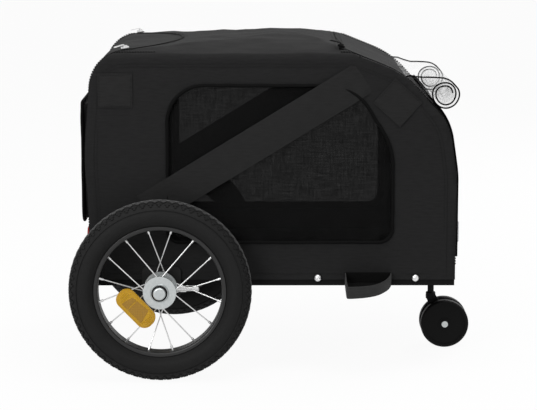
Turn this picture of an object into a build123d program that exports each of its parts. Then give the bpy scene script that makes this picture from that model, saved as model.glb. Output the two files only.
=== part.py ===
"""A two-wheeled dog trailer for a bicycle, with a swivel caster at its nose.

Millimetres. +X points forward (towards the tow end), +Y to the trailer's left, +Z up, z = 0 is the ground.
The model is laid out from the wheel axle at x = 0, then moved so that the origin is the middle of its footprint.
Soft panels are plain sheets of their true outline. Tubes, brackets, wheels and hinges have their real shape.
"""
from build123d import *
import math
import os

# ---- driving dimensions -------------------------------------------------------------------------------------
SEAT = 0.3              # clearance between a piece and what it rests on
FIT = 0.05              # radial clearance of a running fit
GAP = 5.0               # clearance round a moving panel

# wheels
WHEEL_R = 150.0
TYRE_SECTION = 47.0
TYRE_WALL = 4.0
TYRE_MOUTH = 15.0       # how far apart the beads stand
WHEEL_GAP = 26.5        # tyre to cabin side
RIM_W = 30.0
RIM_DEPTH = 7.0
RIM_T = 2.2
HUB_FLANGE_R = 27.0
HUB_FLANGE_T = 3.5
HUB_BARREL_R = 13.0
HUB_END_R = 15.5
HUB_HALF_W = 25.0
SEAL_R, SEAL_BORE_R, SEAL_T = 13.0, 10.8, 3.0
AXLE_R = 6.0
AXLE_HEAD_R, AXLE_HEAD_T = 10.5, 7.0
BUSH_R = 9.5            # frame bush that carries the axle pin
LOCK_R, LOCK_NOSE_R = 5.3, 3.8   # spring plunger beside the bush
LOCK_REAR_X, LOCK_STEP_X, LOCK_FRONT_X = 17.0, 41.0, 62.0
LOCK_DROP = 5.5
SPOKE_R = 1.0
SPOKE_COUNT = 16
SPOKE_CIRCLE_R = 23.3   # where the spokes leave the hub flanges
NIPPLE_R, NIPPLE_L = 2.0, 9.0

# spoke reflector
REFLECTOR_L, REFLECTOR_W, REFLECTOR_T = 85.0, 36.0, 8.0
REFLECTOR_X, REFLECTOR_DROP = -38.6, 30.0
REFLECTOR_SPOKES = (9, 10)

# cabin: lengths from the axle or the walls, heights from the hem or the eaves
CABIN_HALF_W = 200.0    # half of the outside width
CABIN_L = 601.0         # rear wall to front wall at the hem
REAR_FOOT_X = -114.0    # rear wall at the hem
WALL = 3.0              # thickness of a padded fabric panel
HEM_ABOVE_AXLE = 7.5
EAVE_H = 373.5          # hem to eaves
CROWN = 25.0            # rise of the roof between the sides
BELLY_OUT, BELLY_DROP = 11.0, 166.0     # where the rear wall stands out most
TOP_IN = 2.0
RIDGE_BACK, RIDGE_RISE = 237.0, 29.0    # where the roof turns down to the nose
BROW_BACK, BROW_DROP = 87.0, 32.0
CHIN_BACK, CHIN_DROP = 13.0, 113.0
FRONT_TOP_DROP = 201.0  # top of the upright front wall
SEAM_INSET = 16.0       # the side panel's seam, in from the silhouette

# base frame
RAIL_R = 10.0
RAIL_WALL = 1.5
RAIL_ABOVE_AXLE = 8.0
HOOP_R = 8.0
HOOP_WALL = 1.2
MID_TUBE_X = 150.0
FLOOR_T = 3.0
MAT_T = 10.0
COPE = 0.1              # clearance where one tube's end meets another's side

# doors
ZIP_Y = 172.0           # zip lines of both doors, out from the middle
HINGE_ABOVE_HEM = 15.15 # lower edge of both doors, sewn to the sill
REAR_LIP = 54.0         # how far the rear door's corners reach over the roof
REAR_BOW = 90.0         # how much further its middle reaches
FRONT_LIP = 191.0       # how far the front door reaches back over the roof
BAR_SETBACK = 25.0      # roof bars, behind the door edges
MESH_T = 1.2
MESH_LAP = 10.0
REAR_WIN_HALF = 120.0
REAR_WIN_LOW, REAR_WIN_DROP = 102.35, 91.0
REAR_COVER_T = 5.0
REAR_COVER_LAP = 16.0
FRONT_WIN_HALF = 140.0
FRONT_WIN_LOW = 89.35

# reflectors on the doors
LENS_W, LENS_H, LENS_T = 50.0, 40.0, 6.0
LENS_Y = 140.0
REAR_LENS_UP = 49.35
FRONT_LENS_UP = 58.35

# side window and the bands sewn over it
WIN_X0 = 11.0
WIN_FRONT_BACK = 105.0
WIN_LOW, WIN_DROP = 63.5, 50.0
WIN_CUT_X, WIN_CUT_Z = 64.0, 103.0      # the slanted corner towards the nose
PIPING_W = 6.0
PIPING_T = 3.0
BAND_W = 56.0
TRIM_T = 1.5

# webbing loop on each side, below the window
LOOP_BACK = 183.0
LOOP_TOP = 12.5
LOOP_W = 20.0
LOOP_REACH = 62.0
LOOP_L = 76.0
LOOP_DROOP = 11.0       # degrees

# caster
CASTER_BACK = 23.5      # swivel axis, behind the front wall
CASTER_TRAIL = 23.5
CASTER_R = 42.0
CASTER_HALF_W = 24.0
CASTER_WEB = 9.0
CASTER_GAP = 1.5
NECK_R, NECK_L = 8.5, 12.0
STEM_R = 5.5
PIN_R = 4.0
PIN_HEAD_R, PIN_HEAD_T = 5.5, 2.0
SOCKET_R, SOCKET_L = 10.0, 34.0

# rain cover
ROLL_R = 23.0
ROLL_T = 4.0            # the wound-up sheet, layer on layer
ROLL_DOWN = 72.0        # along the slope, from the brow
SHEET_T = 1.2

# tow bracket
TOW_BACK = 62.0
TOW_PIN_R = 5.1
TOW_EAR_T = 4.0
TOW_GAP = 24.0
TOW_DROP = 28.0
TOW_EAR_R = 16.0

# ---- derived places -----------------------------------------------------------------------------------------
AXLE_Z = WHEEL_R
HEM_Z = AXLE_Z + HEM_ABOVE_AXLE
EAVE_Z = HEM_Z + EAVE_H
FRONT_X = REAR_FOOT_X + CABIN_L
HALF_TRACK = CABIN_HALF_W + WHEEL_GAP + TYRE_SECTION / 2
RIM_BORE_R = WHEEL_R - TYRE_SECTION - 1.5
RIM_FLANGE_R = RIM_BORE_R + RIM_DEPTH

RAIL_Z = AXLE_Z + RAIL_ABOVE_AXLE
RAIL_TOP_Z = RAIL_Z + RAIL_R
RAIL_LOW_Z = RAIL_Z - RAIL_R
RAIL_Y = CABIN_HALF_W - WALL - SEAT - RAIL_R
HOOP_Y = CABIN_HALF_W - WALL - SEAT - HOOP_R
HOOP_INSET = WALL + SEAT + HOOP_R
HINGE_Z = HEM_Z + HINGE_ABOVE_HEM
REAR_DOOR_TOP_X = REAR_FOOT_X + REAR_LIP
FRONT_DOOR_TOP_X = FRONT_X - FRONT_LIP
REAR_WIN_Z = (HINGE_Z + REAR_WIN_LOW, EAVE_Z - REAR_WIN_DROP)
FRONT_WIN_Z = (HINGE_Z + FRONT_WIN_LOW, EAVE_Z - CHIN_DROP + 2)

CASTER_X = FRONT_X - CASTER_BACK
REAR_END_X = -WHEEL_R
FRONT_END_X = CASTER_X + CASTER_TRAIL + CASTER_R
MID_X = (REAR_END_X + FRONT_END_X) / 2

# side silhouette, from the rear hem over the roof to the front hem: corner points and the radius at each
REAR_FOOT = (REAR_FOOT_X, HEM_Z)
BELLY = (REAR_FOOT_X - BELLY_OUT, EAVE_Z - BELLY_DROP)
RIDGE = (FRONT_X - RIDGE_BACK, EAVE_Z + RIDGE_RISE)
BROW = (FRONT_X - BROW_BACK, EAVE_Z - BROW_DROP)
CHIN = (FRONT_X - CHIN_BACK, EAVE_Z - CHIN_DROP)
NOSE = [BROW, CHIN, (FRONT_X, EAVE_Z - FRONT_TOP_DROP), (FRONT_X, HEM_Z)]
NOSE_RADII = [150.0, 100.0, 150.0]
BELLY_R = 500.0
CROWN_LINE = [REAR_FOOT, BELLY, (REAR_FOOT_X + TOP_IN, EAVE_Z + 2), RIDGE] + NOSE
CROWN_RADII = [BELLY_R, 62.0, 300.0] + NOSE_RADII
EAVE_END_X = RIDGE[0] + RIDGE_RISE * (BROW[0] - RIDGE[0]) / (RIDGE[1] - BROW[1])
EAVE_LINE = [REAR_FOOT, BELLY, (REAR_FOOT_X + TOP_IN, EAVE_Z), (EAVE_END_X, EAVE_Z)] + NOSE
EAVE_RADII = [BELLY_R, 55.0, 120.0] + NOSE_RADII

# the rear wall: its slope below the belly, and where the rounded belly stands out most
REAR_SLOPE = (BELLY[0] - REAR_FOOT_X) / (BELLY[1] - HEM_Z)
REAR_TURN = math.atan((CROWN_LINE[2][0] - BELLY[0]) / (EAVE_Z + 2 - BELLY[1])) - math.atan(REAR_SLOPE)
REAR_OUT_X = BELLY[0] + BELLY_R * (1 / math.cos(REAR_TURN / 2) - 1)

SIDE_VIEW = Plane.XZ
END_VIEW = Plane.YZ
FAR = 1500.0            # past every piece
PARTS = {}


# ---- helpers ------------------------------------------------------------------------------------------------
def inset_line(points, radii, inset, base_z):
    """The same open outline moved inwards by inset, its two ends kept on the level base_z."""
    normals = []
    for (x0, z0), (x1, z1) in zip(points, points[1:]):
        length = math.hypot(x1 - x0, z1 - z0)
        normals.append(((z1 - z0) / length, -(x1 - x0) / length))
    level = ((0.0, 1.0), base_z)
    lines = [(n, n[0] * x + n[1] * z + inset) for n, (x, z) in zip(normals, points)]
    lines = [level] + lines + [level]
    moved = []
    for ((a, b), c), ((d, e), f) in zip(lines, lines[1:]):
        det = a * e - b * d
        moved.append(((c * e - b * f) / det, (a * f - c * d) / det))
    return moved, [r - inset for r in radii]


def outline_face(points, radii):
    """A flat face under an open outline, closed by a straight line between its ends."""
    return make_face(FilletPolyline(*points, radius=radii) + Line(points[-1], points[0]))


def closed_face(points, radii):
    """A flat face inside a closed outline with a radius at every corner."""
    face = make_face(Polyline(*points, close=True))
    for (x, y), radius in zip(points, radii):
        face = fillet(face.vertices().sort_by_distance((x, y, 0))[0], radius)
    return face


def crown_section(inset):
    """The cabin's cross-section: upright sides, rounded eaves and an arched roof."""
    arch_r = (CABIN_HALF_W**2 + CROWN**2) / (2 * CROWN)
    centre_z = EAVE_Z + CROWN - arch_r
    half = CABIN_HALF_W - inset
    side_z = centre_z + math.sqrt((arch_r - inset) ** 2 - half**2)
    low_z = HEM_Z - 50
    arch = ThreePointArc((-half, side_z), (0, centre_z + arch_r - inset), (half, side_z))
    sides = Polyline((half, side_z), (half, low_z), (-half, low_z), (-half, side_z))
    face = make_face(arch + sides)
    return fillet(face.vertices().sort_by(Axis.Y)[-2:], HOOP_INSET - inset)


def cabin_block(inset, base_z=HEM_Z):
    """The cabin as one solid, moved inwards by inset."""
    outline = outline_face(*inset_line(CROWN_LINE, CROWN_RADII, inset, base_z))
    length = extrude(SIDE_VIEW * outline, CABIN_HALF_W - inset, both=True)
    return length & extrude(END_VIEW * crown_section(inset), FAR, both=True)


def seam_face():
    """The side panel's outline, up to the seam that joins it to the roof and the ends."""
    return outline_face(*inset_line(EAVE_LINE, EAVE_RADII, SEAM_INSET, HEM_Z))


def box_between(x0, x1, y0, y1, z0, z1):
    middle = Pos((x0 + x1) / 2, (y0 + y1) / 2, (z0 + z1) / 2)
    return middle * Box(x1 - x0, y1 - y0, z1 - z0)


def rod(start, end, radius):
    """A round bar from start to end."""
    axis = Vector(*end) - Vector(*start)
    aligned = (Align.CENTER, Align.CENTER, Align.MIN)
    return Plane(origin=start, z_dir=axis) * Cylinder(radius, axis.length, align=aligned)


def tube(start, end, radius, wall):
    return rod(start, end, radius) - rod(start, end, radius - wall)


def side_plate(face, y_out, thick):
    """A flat sheet on the right side: outer face at y = -y_out, thick millimetres deep inwards."""
    return Pos(0, -y_out, 0) * extrude(SIDE_VIEW * face, -thick)


def mirrored(shape):
    return mirror(shape, about=Plane.XZ)


def keep(name, *shapes):
    """Remember a finished piece under its node's name; several solids make one node."""
    PARTS[name] = shapes[0] if len(shapes) == 1 else Compound([s.solid() for s in shapes])


def keep_pair(name, right_shape):
    """A piece of the right side (y < 0) and its mirror image on the left."""
    keep(name + "_right", right_shape)
    keep(name + "_left", mirrored(right_shape))


# ---- frame --------------------------------------------------------------------------------------------------
def base_frame():
    """Two rails with a notch for the axle bush, closed at their ends, and three cross tubes between them."""
    rear_end = REAR_FOOT_X + WALL + SEAT
    front_end = FRONT_X - WALL - SEAT
    rail = rod((rear_end, -RAIL_Y, RAIL_Z), (front_end, -RAIL_Y, RAIL_Z), RAIL_R)
    rail -= rod((rear_end + 3, -RAIL_Y, RAIL_Z), (front_end - 3, -RAIL_Y, RAIL_Z), RAIL_R - RAIL_WALL)
    rail -= rod((0, -RAIL_Y - 30, AXLE_Z), (0, -RAIL_Y + 30, AXLE_Z), BUSH_R + COPE)
    keep_pair("base_rail", rail)
    rails = [rod((-FAR, s * RAIL_Y, RAIL_Z), (FAR, s * RAIL_Y, RAIL_Z), RAIL_R + COPE) for s in (-1, 1)]
    for name, x in (("rear", REAR_TUBE_X), ("middle", MID_TUBE_X), ("front", FRONT_TUBE_X)):
        cross = tube((x, -RAIL_Y, RAIL_Z), (x, RAIL_Y, RAIL_Z), RAIL_R, RAIL_WALL)
        keep("cross_tube_" + name, cross - rails[0] - rails[1])


REAR_TUBE_X = REAR_FOOT_X + WALL + SEAT + RAIL_R
FRONT_TUBE_X = FRONT_X - WALL - SEAT - RAIL_R - 1


def side_hoops():
    """Bent tubes that stand on the rails and hold the cover, with two bars between them under the roof."""
    foot_z = RAIL_TOP_Z + SEAT
    points, radii = inset_line(EAVE_LINE, EAVE_RADII, HOOP_INSET, foot_z - 2)
    path = SIDE_VIEW * FilletPolyline(*points, radius=radii)
    start = Plane(origin=path @ 0, z_dir=path % 0)
    outer = sweep(start * Circle(HOOP_R), path=path)
    inner = sweep(start * Circle(HOOP_R - HOOP_WALL), path=path)
    under_foot = box_between(-FAR, FAR, -FAR, 0, 0, foot_z)
    keep_pair("side_hoop", Pos(0, -HOOP_Y, 0) * (outer - inner) - under_foot)
    coping = sweep(start * Circle(HOOP_R + COPE), path=path)
    z = EAVE_Z - HOOP_INSET
    for name, x in (("rear", REAR_DOOR_TOP_X + BAR_SETBACK), ("front", FRONT_DOOR_TOP_X - BAR_SETBACK)):
        bar = tube((x, -HOOP_Y, z), (x, HOOP_Y, z), HOOP_R, HOOP_WALL)
        keep("roof_bar_" + name, bar - Pos(0, -HOOP_Y, 0) * coping - Pos(0, HOOP_Y, 0) * coping)


def floor():
    low = RAIL_TOP_Z + SEAT
    half = HOOP_Y - HOOP_R - 2
    rear = REAR_TUBE_X - RAIL_R
    front = FRONT_TUBE_X + RAIL_R
    keep("floor_panel", box_between(rear, front, -half, half, low, low + FLOOR_T))
    mat_low = low + FLOOR_T + SEAT
    mat = box_between(rear + 6, front - 6, -half + 4, half - 4, mat_low, mat_low + MAT_T)
    keep("floor_mat", fillet(mat.edges().filter_by(Axis.Z), 20))


def axle_brackets():
    """A folded plate outside each rail, its foot under the rail, and the bush that takes the axle pin."""
    plate_in = CABIN_HALF_W + SEAT
    plate_out = plate_in + 4
    hub_in = HALF_TRACK - HUB_HALF_W
    foot_z = RAIL_LOW_Z - SEAT
    plate = box_between(-32, 32, -plate_out, -plate_in, AXLE_Z - 22, RAIL_Z + 22)
    plate = fillet(plate.edges().filter_by(Axis.Y), 8)
    foot = box_between(-26, 26, -plate_out + 1, -RAIL_Y + 12, foot_z - 4, foot_z)
    bush = rod((0, -RAIL_Y + 14, AXLE_Z), (0, -hub_in + 1, AXLE_Z), BUSH_R)
    hole = rod((0, 0, AXLE_Z), (0, -FAR, AXLE_Z), AXLE_R + FIT)
    keep_pair("axle_bracket", plate + foot + bush - hole)
    end = HALF_TRACK + HUB_HALF_W + 1
    pin = rod((0, -RAIL_Y + 18, AXLE_Z), (0, -end, AXLE_Z), AXLE_R)
    head = rod((0, -end, AXLE_Z), (0, -end - AXLE_HEAD_T, AXLE_Z), AXLE_HEAD_R)
    head = fillet(head.faces().sort_by(Axis.Y)[0].edges(), 3)
    keep_pair("axle_pin", pin + head)
    y, z = -plate_out - SEAT - LOCK_R, AXLE_Z - LOCK_DROP
    saddle = box_between(LOCK_REAR_X, LOCK_REAR_X + 14, -plate_out - SEAT - LOCK_R, -plate_out - SEAT, z - 4, z + 4)
    barrel = rod((LOCK_REAR_X, y, z), (LOCK_STEP_X, y, z), LOCK_R)
    nose = rod((LOCK_STEP_X, y, z), (LOCK_FRONT_X, y, z), LOCK_NOSE_R)
    nose = fillet(nose.faces().sort_by(Axis.X)[-1].edges(), 1.5)
    keep_pair("axle_lock", saddle + barrel + nose)


def tow_bracket():
    """Two ears under the left rail near the nose, for the tow arm's eye and its pin."""
    top = RAIL_LOW_Z - SEAT
    x = FRONT_X - TOW_BACK
    y0 = RAIL_Y - TOW_GAP / 2 - TOW_EAR_T - 4
    y1 = y0 + TOW_GAP + 2 * TOW_EAR_T
    pin_z = top - TOW_DROP
    ear = Pos(x, pin_z) * Circle(TOW_EAR_R)
    ear += Pos(x, (pin_z + top) / 2) * Rectangle(2 * TOW_EAR_R, top - pin_z)
    ears = [Pos(0, y + TOW_EAR_T, 0) * extrude(SIDE_VIEW * ear, TOW_EAR_T) for y in (y0, y1 - TOW_EAR_T)]
    plate = box_between(x - 28, x + TOW_EAR_R, y0, y1, top - TOW_EAR_T, top)
    keep("tow_bracket", plate + ears[0] + ears[1] - rod((x, 0, pin_z), (x, FAR, pin_z), TOW_PIN_R))


# ---- cover --------------------------------------------------------------------------------------------------
def window_face(grow):
    """The side window's outline, grown outwards by grow."""
    x1 = FRONT_X - WIN_FRONT_BACK
    z0, z1 = HEM_Z + WIN_LOW, EAVE_Z - WIN_DROP
    points = [(WIN_X0, z0), (WIN_X0, z1), (x1 - WIN_CUT_X, z1), (x1, z1 - WIN_CUT_Z), (x1, z0)]
    face = closed_face(points, [18, 60, 80, 110, 22])
    return offset(face, grow) if grow else face


def side_cover():
    panel = side_plate(seam_face(), CABIN_HALF_W, WALL) - side_plate(window_face(0), CABIN_HALF_W + 1, WALL + 2)
    panel -= rod((0, -CABIN_HALF_W - 5, AXLE_Z), (0, -RAIL_Y, AXLE_Z), BUSH_R + 1)
    keep_pair("side_panel", panel)
    keep_pair("window_mesh", side_plate(window_face(MESH_LAP), CABIN_HALF_W - WALL - SEAT, MESH_T))
    piping = window_face(PIPING_W / 2) - window_face(-PIPING_W / 2)
    piping = side_plate(piping, CABIN_HALF_W + SEAT + PIPING_T, PIPING_T)
    keep("window_piping", piping, mirrored(piping))


def end_covers():
    """The roof and both ends are one skin, cut along the zips into roof, two surrounds and two doors."""
    seam_prism = extrude(SIDE_VIEW * seam_face(), CABIN_HALF_W + 10, both=True)
    sides = seam_prism - box_between(-FAR, FAR, -CABIN_HALF_W + 10, CABIN_HALF_W - 10, 0, FAR)
    skin = cabin_block(0) - cabin_block(WALL, HEM_Z - 20) - sides
    roof = box_between(REAR_DOOR_TOP_X + GAP / 2, FRONT_DOOR_TOP_X - GAP / 2, -FAR, FAR, EAVE_Z - 130, FAR)
    rear_hole = door_prism(-FAR, REAR_DOOR_TOP_X + GAP / 2, ZIP_Y + GAP / 2, REAR_BOW, HINGE_Z - SEAT)
    front_hole = door_prism(FAR, FRONT_DOOR_TOP_X - GAP / 2, ZIP_Y + GAP / 2, 0, HINGE_Z - SEAT)
    keep("roof_panel", (skin & roof) - rear_hole)
    keep("rear_surround", (skin & box_between(-FAR, REAR_DOOR_TOP_X + GAP / 2, -FAR, FAR, 0, FAR)) - rear_hole)
    keep("front_surround", (skin & box_between(FRONT_DOOR_TOP_X - GAP / 2, FAR, -FAR, FAR, 0, FAR)) - front_hole)
    rear_leaf = skin & door_prism(-FAR, REAR_DOOR_TOP_X - GAP / 2, ZIP_Y - GAP / 2, REAR_BOW, HINGE_Z)
    front_leaf = skin & door_prism(FAR, FRONT_DOOR_TOP_X + GAP / 2, ZIP_Y - GAP / 2, 0, HINGE_Z)
    net_skin = cabin_block(WALL + SEAT) - cabin_block(WALL + SEAT + MESH_T, HEM_Z - 20)
    ends = (
        ("rear", rear_leaf, (-FAR, REAR_DOOR_TOP_X - 10), REAR_WIN_HALF, REAR_WIN_Z),
        ("front", front_leaf, (BROW[0], FAR), FRONT_WIN_HALF, FRONT_WIN_Z),
    )
    for name, leaf, (x0, x1), half, (z0, z1) in ends:
        net = box_between(x0, x1, -half - MESH_LAP, half + MESH_LAP, z0 - MESH_LAP, z1 + MESH_LAP)
        keep(name + "_door", leaf - box_between(x0, x1, -half, half, z0, z1))
        keep(name + "_door_mesh", net_skin & net)


def door_prism(far_x, top_x, half, bow, low_z):
    """The space over a door's plan: straight sides, and a top edge that bows forwards over the roof."""
    sides = Polyline((top_x, -half), (far_x, -half), (far_x, half), (top_x, half))
    top = ThreePointArc((top_x, half), (top_x + bow, 0), (top_x, -half)) if bow else Line((top_x, half), (top_x, -half))
    return Pos(0, 0, low_z) * extrude(make_face(sides + top), FAR)


def door_fittings():
    cover_out = REAR_OUT_X - SEAT
    half = REAR_WIN_HALF + REAR_COVER_LAP
    z0, z1 = REAR_WIN_Z[0] - REAR_COVER_LAP - 3, REAR_WIN_Z[1] + REAR_COVER_LAP
    cover = box_between(cover_out - REAR_COVER_T, cover_out, -half, half, z0, z1)
    keep("rear_window_cover", fillet(cover.edges().filter_by(Axis.X).sort_by(Axis.Z)[:2], 25))

    lens = box_between(0, LENS_T, -LENS_W / 2, LENS_W / 2, -LENS_H / 2, LENS_H / 2)
    lens = Pos(SEAT, 0, 0) * fillet(lens.faces().sort_by(Axis.X)[-1].edges(), 1.5)
    front_lens = Pos(FRONT_X, -LENS_Y, HINGE_Z + FRONT_LENS_UP) * lens
    keep("front_reflectors", front_lens, mirrored(front_lens))
    rear_z = HINGE_Z + REAR_LENS_UP
    rear_x = REAR_FOOT_X + REAR_SLOPE * (rear_z - HEM_Z)
    tilted = mirror(Rot(0, -math.degrees(math.atan(REAR_SLOPE)), 0) * lens, about=Plane.YZ)
    rear_lens = Pos(rear_x, -LENS_Y, rear_z) * tilted
    keep("rear_reflectors", rear_lens, mirrored(rear_lens))


def rain_cover():
    """The rolled clear sheet lying on the nose, with the flat stretch that runs back from it to the brow."""
    slope = Vector(CHIN[0] - BROW[0], 0, CHIN[1] - BROW[1]).normalized()
    normal = Vector(-slope.Z, 0, slope.X)
    middle = Vector(BROW[0], 0, BROW[1]) + slope * ROLL_DOWN + normal * (ROLL_R + SEAT)
    ends = [(middle.X, y, middle.Z) for y in (-CABIN_HALF_W, CABIN_HALF_W)]
    roll = tube(*ends, ROLL_R, ROLL_T)
    top_z = middle.Z + ROLL_R
    sheet = box_between(BROW[0] - 60, middle.X, -CABIN_HALF_W, CABIN_HALF_W, top_z - SHEET_T, top_z)
    keep("rain_cover_roll", roll + (sheet - cabin_block(-SEAT)).solids().sort_by(Axis.X)[-1])


def side_trim():
    """Flat cloth sewn on the side panels: the diagonal band, two patches, and the webbing loop."""
    start = Vector(-25, AXLE_Z + 124.7)
    end = Vector(FRONT_X - WIN_FRONT_BACK - 23.5, EAVE_Z - WIN_DROP + 28.8)
    along = end - start
    middle = start + along * 0.5
    lean = math.degrees(math.atan2(along.Y, along.X))
    band = (Pos(middle.X, middle.Y) * Rot(0, 0, lean) * Rectangle(along.length, BAND_W)) & seam_face()
    band = side_plate(band, CABIN_HALF_W + PIPING_T + 2 * SEAT + TRIM_T, TRIM_T)
    keep("brace_bands", band, mirrored(band))
    rear_patch = Pos(REAR_FOOT_X + 40.5, EAVE_Z - 58) * Rectangle(57, 56)
    front_patch = Pos(BROW[0] - 11, BROW[1] - 46) * Rot(0, 0, -42) * Rectangle(60, 54)
    right = [side_plate(face, CABIN_HALF_W + SEAT + TRIM_T, TRIM_T) for face in (rear_patch, front_patch)]
    keep("corner_patches", *right, *[mirrored(p) for p in right])

    reach = LOOP_REACH
    outer = FilletPolyline((0, 0), (0, -reach), (48, -reach + 4), (LOOP_L, 0), radius=[4, 26])
    inner = FilletPolyline((2, 0), (2, -reach + 2), (47.3, -reach + 5.8), (LOOP_L - 2.4, 0), radius=[2.5, 24])
    band = make_face(outer + Line((LOOP_L, 0), (0, 0))) - make_face(inner + Line((LOOP_L - 2.4, 0), (2, 0)))
    loop = Rot(LOOP_DROOP, 0, 0) * extrude(band, LOOP_W, dir=(0, 0, 1))
    loop_low = HEM_Z + LOOP_TOP - LOOP_W
    tuck = max(0, HEM_Z - loop_low) * math.tan(math.radians(LOOP_DROOP))
    keep_pair("strap_loop", Pos(FRONT_X - LOOP_BACK, tuck - CABIN_HALF_W - SEAT, loop_low) * loop)


# ---- wheels -------------------------------------------------------------------------------------------------
def tyre_section():
    """The tyre's cut, drawn as (distance outwards from the wheel's middle, radius)."""
    section_r = TYRE_SECTION / 2
    mid_r = WHEEL_R - section_r
    carcass = Pos(0, mid_r) * Circle(section_r)
    carcass -= Pos(0, RIM_FLANGE_R / 2) * Rectangle(2 * TYRE_SECTION, RIM_FLANGE_R + 2 * SEAT)
    bead_w = RIM_W - 2 * RIM_T - 2 * SEAT
    bead_low = RIM_BORE_R + RIM_T + SEAT
    bead_high = RIM_FLANGE_R + 2
    bead = Pos(0, (bead_low + bead_high) / 2) * Rectangle(bead_w, bead_high - bead_low)
    section = carcass + bead - Pos(0, mid_r) * Circle(section_r - TYRE_WALL)
    return section - Pos(0, RIM_FLANGE_R) * Rectangle(TYRE_MOUTH, 4 * RIM_DEPTH)


def rim_section():
    """A channel with rounded lips, open towards the tyre."""
    rim = Pos(0, (RIM_FLANGE_R + RIM_BORE_R) / 2) * Rectangle(RIM_W, RIM_DEPTH)
    rim = fillet(rim.vertices().sort_by(Axis.Y)[:2], 3)
    well = Pos(0, RIM_BORE_R + RIM_T + RIM_DEPTH) * Rectangle(RIM_W - 2 * RIM_T, 2 * RIM_DEPTH)
    return fillet((rim - well).vertices().sort_by(Axis.Y)[-4:], RIM_T / 2 - 0.1)


def hub_section():
    """Half of the hub's cut: waisted barrel, two flanges and the ends that carry the bearings."""
    flange_out = HUB_HALF_W - 3
    flange_in = flange_out - HUB_FLANGE_T
    bore = AXLE_R + FIT
    right = [
        (0, HUB_BARREL_R - 2), (flange_in - 6, HUB_BARREL_R), (flange_in, HUB_END_R + 3),
        (flange_in, HUB_FLANGE_R), (flange_out, HUB_FLANGE_R), (flange_out, HUB_END_R),
        (HUB_HALF_W, HUB_END_R - 1.5), (HUB_HALF_W, bore),
    ]
    left = [(-x, r) for x, r in reversed(right) if x]
    return make_face(Polyline(*left, *right, close=True))


def wheel(side, sign):
    """One wheel on the axle line; sign is -1 on the right, +1 on the left: the way outwards."""
    y_mid = sign * HALF_TRACK
    place = Pos(0, y_mid, AXLE_Z) * Rot(0, 0, 90 * sign)
    keep("tyre_" + side, place * revolve(tyre_section(), Axis.X))
    ends = [spoke_ends(index, y_mid, sign) for index in range(SPOKE_COUNT)]
    rim = place * revolve(rim_section(), Axis.X)
    hub = place * revolve(hub_section(), Axis.X)
    spokes = []
    for head, elbow, tip in ends:
        along = (tip - elbow).normalized()
        spokes.append(spoke_wire(elbow, tip) + Pos(*elbow) * Sphere(SPOKE_R) + rod(head, elbow, SPOKE_R))
        rim -= rod(tip - along * NIPPLE_L, tip + along * 20, NIPPLE_R + SEAT)
        hub -= rod(head + (head - elbow) * 0.1, elbow, SPOKE_R + SEAT)
    keep("rim_" + side, rim)
    keep("hub_" + side, hub)
    keep("spokes_" + side, *spokes)
    seal_y = y_mid + sign * (HUB_HALF_W + SEAT)
    seal = rod((0, seal_y, AXLE_Z), (0, seal_y + sign * SEAL_T, AXLE_Z), SEAL_R)
    keep("hub_seal_" + side, seal - rod((0, 0, AXLE_Z), (0, sign * FAR, AXLE_Z), SEAL_BORE_R))
    keep("wheel_reflector_" + side, spoke_reflector(ends, y_mid, sign))


def spoke_wire(elbow, tip):
    """The straight wire with its nipple, turned in one piece."""
    along = tip - elbow
    step = along.length - NIPPLE_L
    half = [(0, 0), (SPOKE_R, 0), (SPOKE_R, step), (NIPPLE_R, step), (NIPPLE_R, along.length), (0, along.length)]
    turned = revolve(Plane.XZ * make_face(Polyline(*half, close=True)), Axis.Z)
    return Plane(origin=elbow, z_dir=along) * turned


def spoke_ends(index, y_mid, sign):
    """Head, elbow and rim end of one spoke.

    Each quarter of the wheel has four: the outer two come from nearly one place on the outer flange, and the
    inner two cross on their way from the two faces of the inner flange.
    """
    rim_angle = (index + 0.5) * 360 / SPOKE_COUNT
    quarter = 90 * round(rim_angle / 90)
    turned = rim_angle - quarter
    flange_out = HUB_HALF_W - 3
    flange_in = flange_out - HUB_FLANGE_T
    clear = SPOKE_R + SEAT
    reach = HUB_FLANGE_T - 1
    if abs(turned) > 20:
        hub_angle = quarter + math.copysign(5, turned)
        elbow_x = flange_in - clear
        head_x = flange_in + reach
    elif turned > 0:
        hub_angle = quarter - 20
        elbow_x = -flange_in + clear
        head_x = -flange_in - reach
    else:
        hub_angle = quarter + 20
        elbow_x = -flange_out - clear - (HUB_FLANGE_R - SPOKE_CIRCLE_R) * 0.4
        head_x = -flange_out + reach
    a, b = math.radians(hub_angle), math.radians(rim_angle)
    rim_r = RIM_BORE_R + RIM_T
    x, z = SPOKE_CIRCLE_R * math.cos(a), AXLE_Z + SPOKE_CIRCLE_R * math.sin(a)
    tip_y = y_mid + sign * math.copysign(2, elbow_x)
    tip = Vector(rim_r * math.cos(b), tip_y, AXLE_Z + rim_r * math.sin(b))
    return Vector(x, y_mid + sign * head_x, z), Vector(x, y_mid + sign * elbow_x, z), tip


def spoke_reflector(ends, y_mid, sign):
    """A long lens outside the spokes, held on two of them by rings that grow from its back."""
    back_y = y_mid + sign * (HUB_HALF_W - 3.5)
    across = (REFLECTOR_DROP, 0, REFLECTOR_X)
    plane = Plane(origin=(REFLECTOR_X, back_y, AXLE_Z - REFLECTOR_DROP), x_dir=across, z_dir=(0, sign, 0))
    lens = extrude(plane * RectangleRounded(REFLECTOR_L, REFLECTOR_W, REFLECTOR_W / 2 - 2), REFLECTOR_T)
    for index in REFLECTOR_SPOKES:
        _, elbow, tip = ends[index]
        along = (tip - elbow).normalized() * 4
        grip = elbow + (tip - elbow) * 0.35
        lens += rod(grip, (grip.X, back_y + sign, grip.Z), 3)
        lens += rod(grip - along, grip + along, 3)
        lens -= rod(elbow, tip, SPOKE_R + SEAT)
    return lens


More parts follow.
